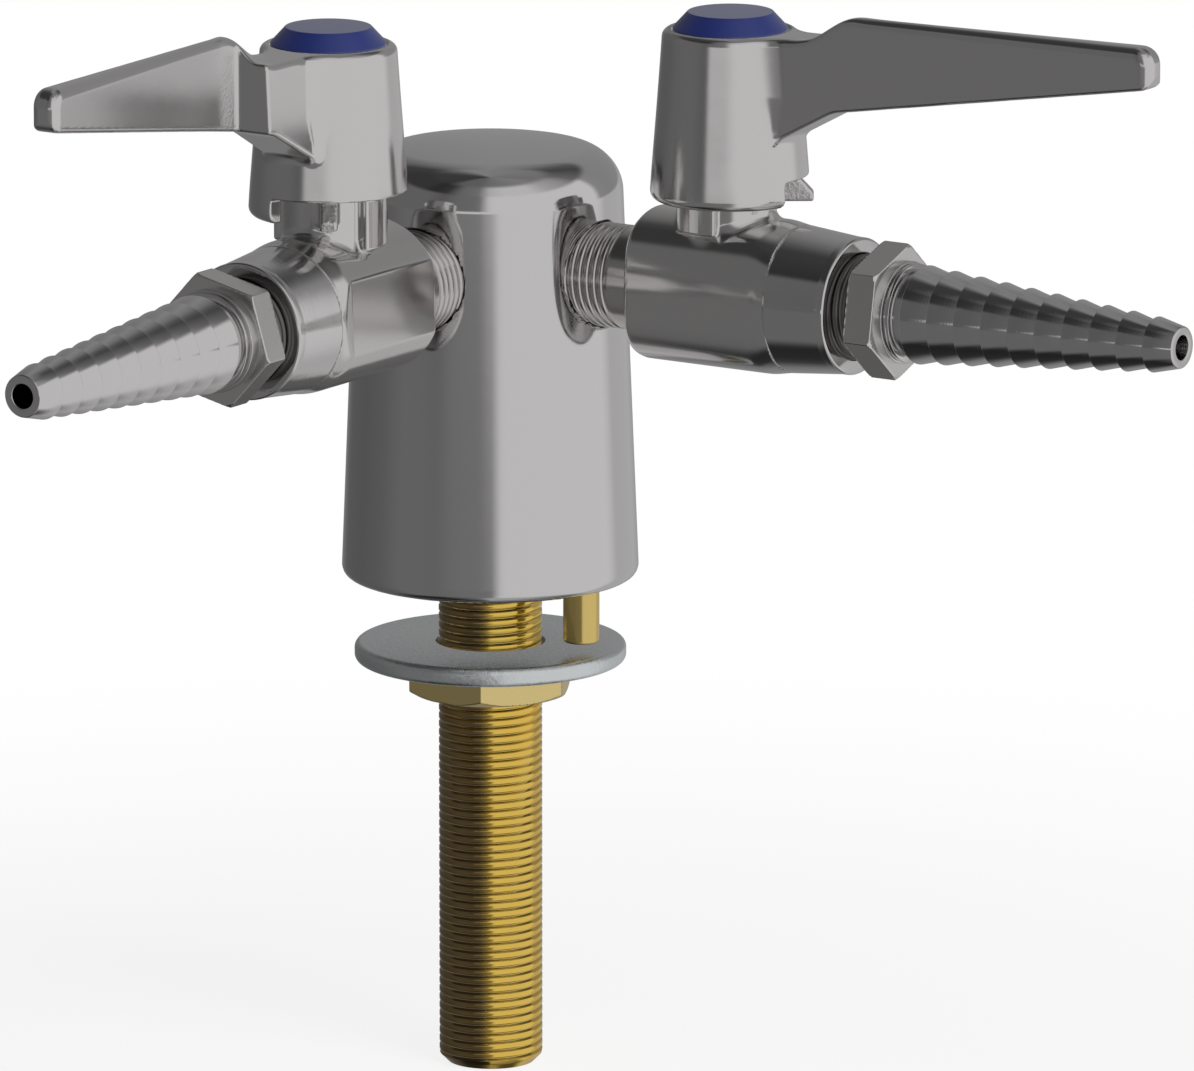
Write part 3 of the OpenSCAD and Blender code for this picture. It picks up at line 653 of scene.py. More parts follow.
# %% [markdown]
# ## Cast skin
# The polishing wheel doesn't reach into the corner beside the handle's blade, nor onto the small stop on the
# valve body. There the sand of the mould still shows. An attribute says where: it is 1 in such a corner and 0
# elsewhere, and it scales the height of a coarse noise. It comes out again as a mask that dulls the metal.

# %% Skin that is left as cast
skin_group, given, result = new_group(
    "cast_skin", [("Size mm", FLOAT, 0.6), ("Height mm", FLOAT, 0.1), ("Normal", VECTOR, (0, 0, 0))],
    [("Normal", VECTOR), ("Mask", FLOAT)])
left_rough = add_node(skin_group, "ShaderNodeAttribute", attribute_name="cast")
sand = add_node(skin_group, "ShaderNodeTexNoise", {"Detail": 2.0, "Roughness": 0.5})
join(skin_group, add_node(skin_group, "ShaderNodeTexCoord").outputs["Object"], sand.inputs["Vector"])
join(skin_group, maths(skin_group, "DIVIDE", 1000.0, given.outputs["Size mm"]), sand.inputs["Scale"])
sand_there = maths(skin_group, "MULTIPLY", sand.outputs["Fac"], left_rough.outputs["Fac"])
bump = bump_by(skin_group, given, sand_there)
join(skin_group, given.outputs["Normal"], bump.inputs["Normal"])
join(skin_group, bump.outputs[0], result.inputs["Normal"])
join(skin_group, left_rough.outputs["Fac"], result.inputs["Mask"])
print(skin_group.name, "has", len(skin_group.nodes), "nodes")

# %% [markdown]
# ## Metals
# All the metals are one recipe: a colour, a roughness and a grain, and where the piece was turned or left as
# cast, one of the other two effects. Chrome is a neutral grey and barely rough. The levers and the valve
# bodies were polished by hand and are a little softer than the turret. A plain colour and roughness alone
# would look like plastic film, so even the smoothest metal gets a slight waviness.

# %% Mix a metal
SKIN_DULLS = 0.12


def metal(name, colour, roughness, grain, spread=0.0, rings=None, skin=None):
    """A metal. grain is (size in mm, strength, height in mm), and spread says how far the roughness varies
    with it. rings is (rings per mm, height in mm), and skin is (size in mm, height in mm)."""
    made, tree, shader = new_material(name)
    shader.inputs["Base Color"].default_value = (*colour, 1)
    shader.inputs["Metallic"].default_value = 1.0
    shader.inputs["Roughness"].default_value = roughness
    size, strength, height = grain
    wave = use_group(tree, grain_group, {"Size mm": size, "Strength": strength, "Height mm": height})
    normal = wave.outputs["Normal"]
    if rings:
        turned = use_group(tree, ring_group, {"Rings per mm": rings[0], "Height mm": rings[1]})
        join(tree, normal, turned.inputs["Normal"])
        normal = turned.outputs["Normal"]
    if skin:
        rough = use_group(tree, skin_group, {"Size mm": skin[0], "Height mm": skin[1]})
        join(tree, normal, rough.inputs["Normal"])
        normal = rough.outputs["Normal"]
    join(tree, normal, shader.inputs["Normal"])
    if spread:
        limits = {"To Min": roughness - spread, "To Max": roughness + spread}
        varied = add_node(tree, "ShaderNodeMapRange", limits)
        join(tree, wave.outputs["Mask"], varied.inputs["Value"])
        duller = varied.outputs[0]
        if skin:
            duller = maths(tree, "ADD", duller, maths(tree, "MULTIPLY", rough.outputs["Mask"], SKIN_DULLS))
        join(tree, duller, shader.inputs["Roughness"])
    return made


chrome = metal("polished_chrome", (0.735, 0.725, 0.727), 0.08, (12.0, 0.2, 0.04))
lever_chrome = metal("lever_chrome", (0.735, 0.725, 0.722), 0.15, (6.0, 0.25, 0.04), 0.03, skin=(0.6, 0.06))
valve_chrome = metal("valve_chrome", (0.72, 0.71, 0.705), 0.13, (8.0, 0.2, 0.04), 0.02, skin=(0.7, 0.08))
turned_chrome = metal("turned_chrome", (0.71, 0.70, 0.70), 0.09, (3.0, 0.1, 0.01), 0.02, rings=(7.0, 0.006))
hex_chrome = metal("hexagon_chrome", (0.74, 0.73, 0.72), 0.2, (0.8, 0.3, 0.008), 0.04)
nickel_thread = metal("plated_thread", (0.62, 0.60, 0.59), 0.16, (1.5, 0.2, 0.01), 0.04)
# Painted shade: the nozzle's thread gets a dark metal for the shadow in its groove behind the hexagon.
painted_shade_thread = metal("painted_shade_thread", (0.20, 0.195, 0.19), 0.35, (0.8, 0.2, 0.01))
nut_brass = metal("nut_brass", (0.88, 0.71, 0.31), 0.26, (0.7, 0.3, 0.01), 0.06)
pin_brass = metal("pin_brass", (0.84, 0.63, 0.22), 0.16, (0.9, 0.25, 0.008), 0.05)
inner_brass = metal("inner_brass", (0.78, 0.62, 0.28), 0.3, (0.8, 0.2, 0.01), 0.05)
zinc = metal("zinc_plate", (0.80, 0.84, 0.85), 0.30, (0.8, 0.9, 0.09), 0.12)
screw_steel = metal("screw_steel", (0.62, 0.62, 0.61), 0.3, (0.8, 0.2, 0.01), 0.05)
ball_chrome = metal("ball_chrome", (0.76, 0.75, 0.74), 0.05, (4.0, 0.05, 0.005))
print("metals mixed, from", chrome.name, "to", ball_chrome.name)

# %% [markdown]
# ## Painted shade on the shank
# The shank is brown on its left and bright on its right, with a soft upright border: a darker reflection on
# its left. It could be left to the room's reflections, but then the border would lie elsewhere on every flank
# of the thread. Here that shade is painted into the brass colour instead, and it stays on the shank: what
# counts is how far a point lies toward the lit side, as a share of the shank's radius.

# %% Paint shade on the shank
# The side that faces the light panel stays bright brass; away from it the colour turns to a painted shade.
LIT_SIDE = (0.8326, 0.5538)
PAINTED_SHADE_EDGE = (-0.25, 0.02)
PAINTED_SHADE_BROWN, UNSHADED_BRASS = (0.36, 0.25, 0.10, 1), (0.96, 0.65, 0.13, 1)

shank_brass = metal("shank_brass", UNSHADED_BRASS[:3], 0.09, (1.6, 0.3, 0.012), 0.03)
tree = shank_brass.node_tree
per_radius = 1 / (thread_r * MM)
toward_lit_side = add_node(tree, "ShaderNodeVectorMath", {1: [c * per_radius for c in (*LIT_SIDE, 0)]},
                        operation="DOT_PRODUCT")
join(tree, add_node(tree, "ShaderNodeTexCoord").outputs["Object"], toward_lit_side.inputs[0])
unshaded_share = step_between(tree, toward_lit_side.outputs["Value"], *PAINTED_SHADE_EDGE)
shader = tree.nodes["Principled BSDF"]
# Painted shade: the brass colour turns brown on the side away from the light.
join(tree, mix_colours(tree, unshaded_share, PAINTED_SHADE_BROWN, UNSHADED_BRASS), shader.inputs["Base Color"])
lit_bearing = math.degrees(math.atan2(LIT_SIDE[1], LIT_SIDE[0]))
print("the side without painted shade faces", round(lit_bearing, 1), "degrees from +X")

# %% [markdown]
# ## Plastics
# The seats and packings are PTFE, which is white and waxy. The index caps are blue and slightly shiny. Their
# flat tops get a paler, greyer blue than their cones: painted light from above, chosen by the direction of
# the surface. A second material for the tops would draw a hard border along the edge.

# %% Mix the plastics
ptfe, tree, shader = new_material("ptfe")
shader.inputs["Base Color"].default_value = (0.86, 0.86, 0.83, 1)
shader.inputs["Roughness"].default_value = 0.45
speck = use_group(tree, grain_group, {"Size mm": 0.8, "Strength": 0.2, "Height mm": 0.01})
join(tree, speck.outputs["Normal"], shader.inputs["Normal"])

# The paler blue of the tops is painted light from above.
CONE_BLUE, PAINTED_LIGHT_TOP_BLUE = (0.020, 0.036, 0.20, 1), (0.13, 0.14, 0.27, 1)
PAINTED_LIGHT_FROM = (0.85, 0.97)

cap_blue, tree, shader = new_material("cap_blue")
shader.inputs["Roughness"].default_value = 0.34
shader.inputs["IOR"].default_value = 1.6
shader.inputs["Coat Weight"].default_value = 0.5
shader.inputs["Coat Roughness"].default_value = 0.3
faces_up = add_node(tree, "ShaderNodeSeparateXYZ")
join(tree, add_node(tree, "ShaderNodeTexCoord").outputs["Normal"], faces_up.inputs[0])
# Surfaces that face up get the paler blue: painted light.
painted_light_top = step_between(tree, faces_up.outputs["Z"], *PAINTED_LIGHT_FROM)
join(tree, mix_colours(tree, painted_light_top, CONE_BLUE, PAINTED_LIGHT_TOP_BLUE), shader.inputs["Base Color"])
speck = use_group(tree, grain_group, {"Size mm": 1.2, "Strength": 0.25, "Height mm": 0.01})
join(tree, speck.outputs["Normal"], shader.inputs["Normal"])
print("plastics mixed:", ptfe.name, "and", cap_blue.name)

# %% [markdown]
# ## The turret
# The body is a casting, turned outside: a tapered drum with a domed top, a large radius at its shoulder and a
# small one at its foot. It is hollow, and open to the shank below and to the two nipples. A lathe profile
# would do for the outside, but the openings cross each other, and with distances they are one formula.

# %% Build the turret
TURRET_TAPER = 0.0404
CROWN_R = 120.0
SHOULDER_R = 6.0
FOOT_R = 2.0
CHAMBER_R, CHAMBER_LOW, CHAMBER_TOP = 14.0, 18.0, 64.0
BORE_R = thread_r + 0.02
SHANK_BORE_TOP = 20
PIN_U, PIN_R = middle("anti_rotation_pin")[0], 2.52
PIN_HOLE_TOP, PIN_FLARE = 8.3, 0.8
TURRET_CELL = 0.7


def turret_distance(x, y, z):
    r = np.sqrt(x * x + y * y)
    side = (r - turret_r + TURRET_TAPER * z) / math.hypot(1, TURRET_TAPER)
    dome = np.sqrt(r * r + (z - turret_top + CROWN_R) ** 2) - CROWN_R
    body = round_cut(round_cut(side, dome, SHOULDER_R), -z, FOOT_R)
    chamber = np.maximum(r - CHAMBER_R, np.maximum(CHAMBER_LOW - z, z - CHAMBER_TOP))
    to_right = np.maximum(np.sqrt(y * y + (z - flow_z) ** 2) - BORE_R, -x)
    to_left = np.maximum(np.sqrt(x * x + (z - flow_z) ** 2) - BORE_R, y)
    below = np.maximum(r - BORE_R, z - SHANK_BORE_TOP)
    pin_r = np.sqrt((x - PIN_U) ** 2 + y * y)
    pin_hole = np.maximum(pin_r - PIN_R - np.maximum(PIN_FLARE - z, 0), z - PIN_HOLE_TOP)
    hollow = np.minimum(np.minimum(chamber, below), np.minimum(to_right, to_left))
    return carve(carve(body, hollow, 0.3), pin_hole, 0.1)


verts, faces, normals = cast_mesh(turret_distance, *span("turret_body"), TURRET_CELL)
make_piece("turret", verts, faces, chrome, "turret", "turret_body", normals)

# %% [markdown]
# ## The handle
# The handle is one casting: a hub with a skirt under it, a square root block, and a thin blade that runs on
# from one side of the block. The blade's top edge is fully round. Where the block meets the hub there is a
# soft fillet, and the polishing has softened every other edge by about a millimetre. The heights below are
# those of the side view, along the lever, with their bends rounded over: straight lines with sharp bends
# would draw hard streaks in the chrome.

# %% Measure the handle
HUB_Z = np.linspace(14, 46, 129)
HUB_FOOT_R = 13.19
hub_slope = -(0.052 + 0.028 * ease(HUB_Z, 15, 22)) + 0.012 * ease(HUB_Z, 25, 42)
HUB_R = HUB_FOOT_R + np.concatenate([[0], np.cumsum(hub_slope[:-1] * np.diff(HUB_Z))])
BLADE_END, BLADE_TOP = min(81.7, lever_reach), 48.2


def soft_line(points, blur):
    """A height table through points, with its bends rounded over about blur mm."""
    x = np.linspace(-20, 100, 1201)
    height = np.interp(x, *zip(*points))
    weights = np.exp(-0.5 * (np.arange(-60, 61) * 0.1 / blur) ** 2)
    padded = np.pad(height, 60, mode="edge")
    return x, np.convolve(padded, weights / weights.sum(), mode="valid")


LEVER_TOP = soft_line([(-20, 43.45), (15.6, 43.45), (18.4, 44.0), (23.4, 47.3), (25.8, BLADE_TOP),
                       (100, BLADE_TOP)], 0.9)
LEVER_FOOT = soft_line([(-20, 26.2), (11.2, 26.2), (22.2, 32.1), (100, 44.6)], 0.7)
BLADE_LOW = soft_line([(-20, -4.8), (11.2, -4.8), (80.6, -2.1), (100, -1.35)], 1.0)
print("hub radius", HUB_R[0].round(2), "to", HUB_R[-1].round(2), "mm, blade to", round(BLADE_END, 1), "mm")

# %% [markdown]
# ## The lever on the hub
# Seen from above, the block's side and the blade's side meet in an inner corner with a fillet, and the blade
# grows thicker toward its end. The block has a slight draft, so that it leaves its mould. The crest isn't
# level across the lever: its height is read a little further back on one side, which slants the rise.

# %% Describe the lever
ROOT_END, ROOT_HALF, ROOT_EDGE = 24.2, 4.8, 0.5
ROOT_DRAFT, DRAFT_FROM = 0.05, 37
BLADE_BACK, BLADE_FROM, BLADE_SLANT = -2.0, 25.7, 0.995
BLADE_GROWS, BLADE_RUN, CORNER_RUN = 4.88, 54.9, 7
LEVER_START, INNER_FILLET, FOOT_EDGE, FOOT_SLANT = 2, 0.7, 0.9, 0.97
CREST_SHIFT, TIP_R = 5.8, 3.0


def lever_bar(x, y, z):
    """The root block and the blade, still without their top."""
    block = round_cut(y - ROOT_HALF - ROOT_DRAFT * (DRAFT_FROM - z), x - ROOT_END, ROOT_EDGE)
    hollow = np.exp(-np.maximum(x - ROOT_END, 0) / CORNER_RUN)
    blade = (y - (BLADE_BACK + (x - BLADE_FROM) * BLADE_GROWS / BLADE_RUN + hollow)) * BLADE_SLANT
    plan = np.maximum(np.interp(x, *BLADE_LOW) - y, fillet_join(block, blade, INNER_FILLET))
    foot = (np.interp(x, *LEVER_FOOT) - z) * FOOT_SLANT
    return np.maximum(round_cut(plan, foot, FOOT_EDGE), LEVER_START - x)


def lever_top(x, y, z):
    """What lies above the handle, and past the blade's round tip."""
    return round_cut(z - np.interp(x - CREST_SHIFT * ease(y, -3.2, 3.0), *LEVER_TOP), x - BLADE_END, TIP_R)


def top_edge(x):
    """How round the top's edge is: crisper beside the hub, and rounder along the blade."""
    return 1.3 - 0.4 * ease(x, 12, 17) + 0.6 * ease(x, 23, 30) + 0.4 * np.clip((x - 26) / 54, 0, 1)


edges = [round(float(top_edge(x)), 2) for x in (0, 18, 80)]
print("top edge at the hub, beside it and at the tip:", edges, "mm")

# %% [markdown]
# ## The hub and its hollows
# The skirt is open below and has a window at the back. A rib inside it meets the pads on the valve body at
# both ends of the travel. On top, a recess holds the screw and a wider seat holds the index cap.

# %% Describe the handle
SKIRT_Z, WINDOW_Z, WEB_Z, WEB_TOP = 15.2, 19.4, 28.0, 34.0
RIM_Z, SEAT_Z = 43.5, 41.5
SKIRT_INNER_R, RECESS_R, SEAT_R = 10.4, 8.75, 9.62
SKIRT_EDGE, SKIRT_CORNER = 1.6, 0.8
WINDOW = (-13.0, 190.0)
WINDOW_CORNER, WINDOW_EDGE, RIM_EDGE = 0.6, 0.35, 0.3
RIB_HALF, RIB_R = 0.95, 8.3
HUB_FILLET, HUB_FILLET_GROWS, FILLET_RISE = 1.3, 1.6, (28, 34)
SQUARE = 4.9 / 2 + 0.02


def handle_distance(x, y, z):
    r = np.sqrt(x * x + y * y)
    hub = round_cut(r - np.interp(z, HUB_Z, HUB_R), SKIRT_Z - z, SKIRT_EDGE)
    cast = fillet_join(hub, lever_bar(x, y, z), HUB_FILLET + HUB_FILLET_GROWS * ease(z, *FILLET_RISE))
    cast = round_cut(cast, lever_top(x, y, z), top_edge(x))
    inside = round_cut(r - SKIRT_INNER_R, z - WEB_Z, SKIRT_CORNER)
    rib = np.maximum(np.abs(x - y) / math.sqrt(2) - RIB_HALF, np.maximum(RIB_R - r, (x + y) / math.sqrt(2)))
    cast = np.minimum(carve(cast, inside, RIM_EDGE), np.maximum(np.maximum(rib, hub), z - WEB_Z))
    start, stop = [math.radians(a) for a in WINDOW]
    kept = np.maximum(x * math.sin(stop) - y * math.cos(stop), y * math.cos(start) - x * math.sin(start))
    cast = carve(cast, round_cut(z - WINDOW_Z, -kept, WINDOW_CORNER), WINDOW_EDGE)
    recess = np.maximum(r - RECESS_R, WEB_TOP - z)
    seat = np.maximum(r - SEAT_R, SEAT_Z - z)
    square = np.maximum(np.abs(x), np.abs(y)) - SQUARE
    return carve(carve(cast, np.minimum(recess, seat), RIM_EDGE), square, 0.1)


print("skirt from", SKIRT_Z, "mm, window up to", WINDOW_Z, "mm above the flow")

# %% [markdown]
# ## Both handles
# One mesh serves both sides: it is cast once and turned into place. The corner where the blade leaves the
# block is marked as cast, because no polishing wheel fits in it.

# %% Build both handles
HANDLE_CELL = 0.42
HANDLE_LOW, HANDLE_SIDE, HANDLE_TOP = 15.0, 13.2, 48.4
ROUGH_U, ROUGH_WIDTH = 27.0, 1.7

verts, faces, normals = cast_mesh(handle_distance, (-HANDLE_SIDE, -HANDLE_SIDE, HANDLE_LOW),
                                  (lever_reach, HANDLE_SIDE, HANDLE_TOP), HANDLE_CELL)
left_as_cast = np.exp(-((verts[:, 0] - ROUGH_U) / ROUGH_WIDTH) ** 2)
left_as_cast = left_as_cast * ease(verts[:, 1], -2.4, -1.6) * ease(-verts[:, 2], -47, -45)
verts = verts + [hub_u, 0, flow_z]
for side, turn in VALVES.items():
    make_piece(f"{side}_lever", about_turret(verts, turn), faces, lever_chrome, f"{side}_lever",
               f"{side}_handle", about_turret(normals, turn), marks={"cast": left_as_cast})

# %% [markdown]
# ## The valve body
# A bar of round brass with two wrench flats, and a collar on top that holds the stem. The flats run out in a
# slope before the outlet. The left-hand flat is crisp, the right-hand one was polished until its edges went
# soft: a large cylinder cuts it instead of a plane. Two pads stand beside the collar, and a fin that stops
# the handle.

# %% Describe the bar and its flats
INLET_X, SEAM_X = inlet_u - hub_u, seam_u - hub_u
VALVE_R, SEAM_R = 12.7, 12.1
VALVE_TAPER = soft_line([(-20, VALVE_R), (10.3, VALVE_R), (13.5, SEAM_R), (100, SEAM_R)], 0.6)
FLAT_HALF, FLAT_LEAN, FLAT_EDGE = 11.0, 0.045, 0.25
RUN_OUT_FROM, RUN_OUT_SLOPE, RUN_OUT_SLANT = 9.4, 0.36, 0.94
BELLY_R, BELLY_EDGE, BELLY_OUT, BELLY_MORE = 40.0, 3.0, 0.55, 0.5
INLET_EDGE, SEAM_EDGE = 1.1, 0.12


def valve_bar(x, y, z, rho):
    """The round bar with its crisp flat toward +Y and its soft flat toward -Y."""
    bar = round_cut(rho - np.interp(x, *VALVE_TAPER), INLET_X - x, INLET_EDGE)
    run_out = (y - FLAT_HALF - (x - RUN_OUT_FROM) * RUN_OUT_SLOPE) * RUN_OUT_SLANT
    crisp = np.minimum(y - FLAT_HALF, run_out) + FLAT_LEAN * z
    level = FLAT_HALF + BELLY_OUT + BELLY_MORE * ease(x, 10.0, 13.4)
    soft = np.sqrt((y - BELLY_R + level) ** 2 + z * z) - BELLY_R
    bar = round_cut(round_cut(bar, crisp, FLAT_EDGE), soft, BELLY_EDGE)
    return round_cut(bar, x - SEAM_X, SEAM_EDGE)


print("valve bar from", round(INLET_X, 1), "to", round(SEAM_X, 1), "mm along the flow, off the lever's axis")

# %% Describe the collar, pads and stop
COLLAR_R, COLLAR_Z, COLLAR_FILLET = 7.6, 21.5, 1.5
PAD_R, PAD_Z, PAD_TOP, PAD_EDGE = 9.5, 10.4, 19.0, 0.5
PAD_FROM, PAD_TO = 73.0, 126.3
LUG_TURN, LUG_HALF, LUG_R, LUG_Z = 34.0, 1.45, 13.6, 14.9
LUG_BACK, LUG_RUN, LUG_RISE = 11.2, 2.4, 2.6
LUG_FILLET = 0.8
lug_c, lug_s = math.cos(math.radians(LUG_TURN)), math.sin(math.radians(LUG_TURN))


def stem_pad(r, x, side, z):
    """A pad beside the collar, between two directions."""
    a, b = math.radians(PAD_FROM), math.radians(PAD_TO)
    wedge = np.maximum(x * math.sin(a) - side * math.cos(a), -(x * math.sin(b) - side * math.cos(b)))
    level = np.abs(z - (PAD_Z + PAD_TOP) / 2) - (PAD_TOP - PAD_Z) / 2
    return round_cut(round_cut(r - PAD_R, wedge, PAD_EDGE), level, PAD_EDGE)


def stop_fin(x, y, z):
    """The fin that stops the handle, with a sloped back."""
    out, across = x * lug_c + y * lug_s, np.abs(y * lug_c - x * lug_s)
    back = ((out - LUG_BACK) * LUG_RISE + (z - PAD_TOP) * LUG_RUN) / math.hypot(LUG_RISE, LUG_RUN)
    fin = round_cut(np.maximum(out - LUG_R, back), np.maximum(LUG_Z - z, z - PAD_TOP), 0.4)
    return round_cut(np.maximum(fin, -out), across - LUG_HALF, 0.5)


print("pads from", PAD_FROM, "to", PAD_TO, "degrees, stop at", LUG_TURN, "degrees")

# %% [markdown]
# ## Inside the valve body
# None of this shows, but the balls and stems have to fit: the water's way from the inlet to the outlet, room
# for the ball, and a stepped hole for the stem, its packing and the packing nut. The bores follow those of
# the CAD frame.

# %% Describe the bores and the whole body
INLET_DEPTH, PORT_R, BALL_ROOM, OUTLET_R = 8.15, 3.2, 6.8, 9.52
STEM_R, FLANGE_R, FLANGE_TOP = 3.55, 4.9, 9.5
PACKING_R, PACKING_LOW, NUT_R, NUT_LOW = 5.44, 10.5, 6.12, 14.5


def valve_bores(x, z, r, rho):
    inlet = np.minimum(np.maximum(rho - BORE_R, x + INLET_DEPTH), np.maximum(rho - PORT_R, x))
    ball_room = np.maximum(rho - BALL_ROOM, np.abs(x) - BALL_ROOM)
    outlet = np.maximum(rho - OUTLET_R, BALL_ROOM - x)
    flange_room = np.maximum(np.maximum(r - FLANGE_R, z - FLANGE_TOP), -z)
    stem_hole = np.minimum(np.maximum(r - STEM_R, -z), flange_room)
    packing_hole = np.minimum(np.maximum(r - PACKING_R, PACKING_LOW - z), np.maximum(r - NUT_R, NUT_LOW - z))
    return np.minimum(np.minimum(inlet, ball_room), np.minimum(outlet, np.minimum(stem_hole, packing_hole)))


def valve_distance(x, y, z):
    r = np.sqrt(x * x + y * y)
    rho = np.sqrt(y * y + z * z)
    collar = round_cut(r - COLLAR_R, z - COLLAR_Z, 0.4)
    body = fillet_join(valve_bar(x, y, z, rho), np.maximum(collar, -z), COLLAR_FILLET)
    body = fillet_join(body, stem_pad(r, x, np.abs(y), z), PAD_EDGE)
    body = fillet_join(body, stop_fin(x, y, z), LUG_FILLET)
    return carve(body, valve_bores(x, z, r, rho), 0.2)


print("port", 2 * PORT_R, "mm wide, collar up to", COLLAR_Z, "mm")

# %% [markdown]
# ## Both valve bodies
# Again one mesh is cast and turned into place on each side. The stop is marked as cast: it is small and
# stands close to the collar, where the wheel doesn't reach.

# %% Build both valve bodies
VALVE_CELL = 0.42
VALVE_SIDE = 12.8

verts, faces, normals = cast_mesh(valve_distance, (INLET_X, -VALVE_SIDE, -VALVE_SIDE),
                                  (SEAM_X, VALVE_SIDE, COLLAR_Z), VALVE_CELL)
at_lug = lug_c * verts[:, 0] + lug_s * verts[:, 1]
off_lug = lug_c * verts[:, 1] - lug_s * verts[:, 0]
left_as_cast = ease(at_lug, 7.8, 9.0) * ease(verts[:, 2], 13.5, 15.0) * (np.abs(off_lug) < 1.8)
verts = verts + [hub_u, 0, flow_z]
for side, turn in VALVES.items():
    make_piece(f"{side}_valve", about_turret(verts, turn), faces, valve_chrome, "turret",
               f"{side}_valve_body", about_turret(normals, turn), marks={"cast": left_as_cast})

# %% [markdown]
# ## End pieces
# The outlet end screws into the valve body and holds the ball between its seats. It is turned, so it is a
# profile: a shoulder at the seam, a slight cone and a lip around the outlet.

# %% Spin the end pieces
END_BACK, END_FLOOR = 54.9, 62.7
WATER_R, SPIGOT_R, OUTLET_BORE_R, LIP_R, END_R = 3.7, 9.45, 8.6, 8.9, 11.25

verts, faces = spin(round_corners([
    (END_BACK, WATER_R), (END_BACK, SPIGOT_R), (seam_u, SPIGOT_R), (seam_u, SEAM_R - 0.1, 0.1),
    (seam_u + 0.3, SEAM_R, 0.2), (end_u - 1.6, END_R, 1.0), (end_u, END_R, 0.5), (end_u, LIP_R, 0.15),
    (end_u - 0.3, OUTLET_BORE_R), (END_FLOOR, OUTLET_BORE_R), (END_FLOOR, WATER_R)]))
verts = verts + [0, 0, flow_z]
for side, turn in VALVES.items():
    make_piece(f"{side}_end", about_turret(verts, turn), faces, turned_chrome, "turret",
               f"{side}_end_piece", marks={"station": verts[:, 0]})

# %% [markdown]
# ## Hose nozzles
# Ten sharp rings over which a rubber tube is pushed. Each ring has a steep back and a long front, so the
# profile is a saw that gets smaller toward the tip. A loop writes it. Two small steps join it to the hexagon.

# %% Spin the nozzles
HEX_U, HEX_T, HEX_HALF = end_u + 3.3, 5.2, 9.7
BARBS, BARB_PITCH, FIRST_BARB, BARB_STEP = 10, 4.85, 84.55, 0.85
FIRST_CREST_R, LAST_CREST_R = 8.1, 4.55
NOZZLE_BORE_R, NOZZLE_TIP_R = 2.0, 3.4
CORE_R, STEP_R, GROOVE_R, COLLAR_STEP_R = 7.9, 8.4, 7.7, 8.15
foot_u = HEX_U + HEX_T


def crest_r(i):
    return FIRST_CREST_R + (LAST_CREST_R - FIRST_CREST_R) * i / (BARBS - 1)


points = [(HEX_U - 0.2, NOZZLE_BORE_R), (HEX_U - 0.2, CORE_R), (foot_u, CORE_R), (foot_u, STEP_R),
          (foot_u + 0.9, STEP_R, 0.12), (foot_u + 1.0, GROOVE_R), (foot_u + 1.35, GROOVE_R),
          (foot_u + 1.45, COLLAR_STEP_R, 0.08), (foot_u + 2.1, COLLAR_STEP_R, 0.12),
          (foot_u + 2.3, crest_r(0) - BARB_STEP)]
for i in range(BARBS):
    spot = FIRST_BARB + i * BARB_PITCH
    points += [(spot - 0.12, crest_r(i) - BARB_STEP), (spot, crest_r(i), 0.07)]
points += [(tip_u, NOZZLE_TIP_R, 0.3), (tip_u, NOZZLE_BORE_R, 0.2)]
verts, faces = spin(round_corners(points, 4))
verts = verts + [0, 0, flow_z]
for side, turn in VALVES.items():
    make_piece(f"{side}_barbs", about_turret(verts, turn), faces, turned_chrome, "turret",
               f"{side}_hose_nozzle", marks={"station": verts[:, 0]})

# %% [markdown]
# ## Hexagons
# The nozzle has a hexagon to turn it in with a wrench. Its corners are chamfered, which gives each flat its
# curved ends: a cone cuts the bar, and the curves come by themselves. The hexagon stands a little differently
# on each side, as it came to rest when tight.

# %% Cast the hexagons
HEX_TURN = {"right": -10.0, "left": 17.0}
HEX_CELL, HEX_BOX = 0.3, 11.5
CONE_SLOPE, CONE_OUT, CONE_SHARE = 1.7, 0.9, 0.85


def hexagon(a, b, half, turn):
    """Distance to a hexagonal bar in the a, b plane."""
    reach = -np.inf
    for k in range(3):
        angle = math.radians(turn + 60 * k)
        reach = np.maximum(reach, np.abs(a * math.cos(angle) + b * math.sin(angle)))
    return reach - half


for side, turn in VALVES.items():
    def hex_distance(x, y, z, lean=HEX_TURN[side]):
        rho = np.sqrt(y * y + z * z)
        off_middle = np.abs(x - HEX_U - HEX_T / 2)
        block = round_cut(hexagon(y, z, HEX_HALF, lean), off_middle - HEX_T / 2, 0.2)
        cone = (rho + off_middle * CONE_SLOPE - HEX_HALF - CONE_OUT - HEX_T * CONE_SHARE) / 2
        return np.maximum(np.maximum(block, cone), 7.5 - rho)

    verts, faces, normals = cast_mesh(hex_distance, (HEX_U, -HEX_BOX, -HEX_BOX), (foot_u, HEX_BOX, HEX_BOX),
                                      HEX_CELL)
    verts = about_turret(verts + [0, 0, flow_z], turn)
    make_piece(f"{side}_hexagon", verts, faces, hex_chrome, "turret", f"{side}_hose_nozzle",
               about_turret(normals, turn))

# %% [markdown]
# ## Threads
# The fitting has pipe thread, 18 turns to the inch. The CAD frame has level rings where it shows. A real
# thread is a profile that climbs one pitch in each turn. It could be cut with a Screw modifier, but then the
# ends don't close. The mesh below leans with the thread instead: each column of points starts a little higher
# than the last, so the crests run along edges of the mesh and stay crisp. Where the leaning rows pass an end
# of the tube, they are clamped to that end, and what folds up there is cleaned away.

# %% Shape a thread
import bmesh

THREAD_PITCH = 25.4 / 18
THREAD_SHAPE = [(0.0, 0.14), (0.07, 0.0), (0.55, 0.0), (0.62, 0.14), (0.80, 1.0), (0.84, 1.0)]
THREAD_DEPTH = 0.45
THREAD_COLUMNS = 96


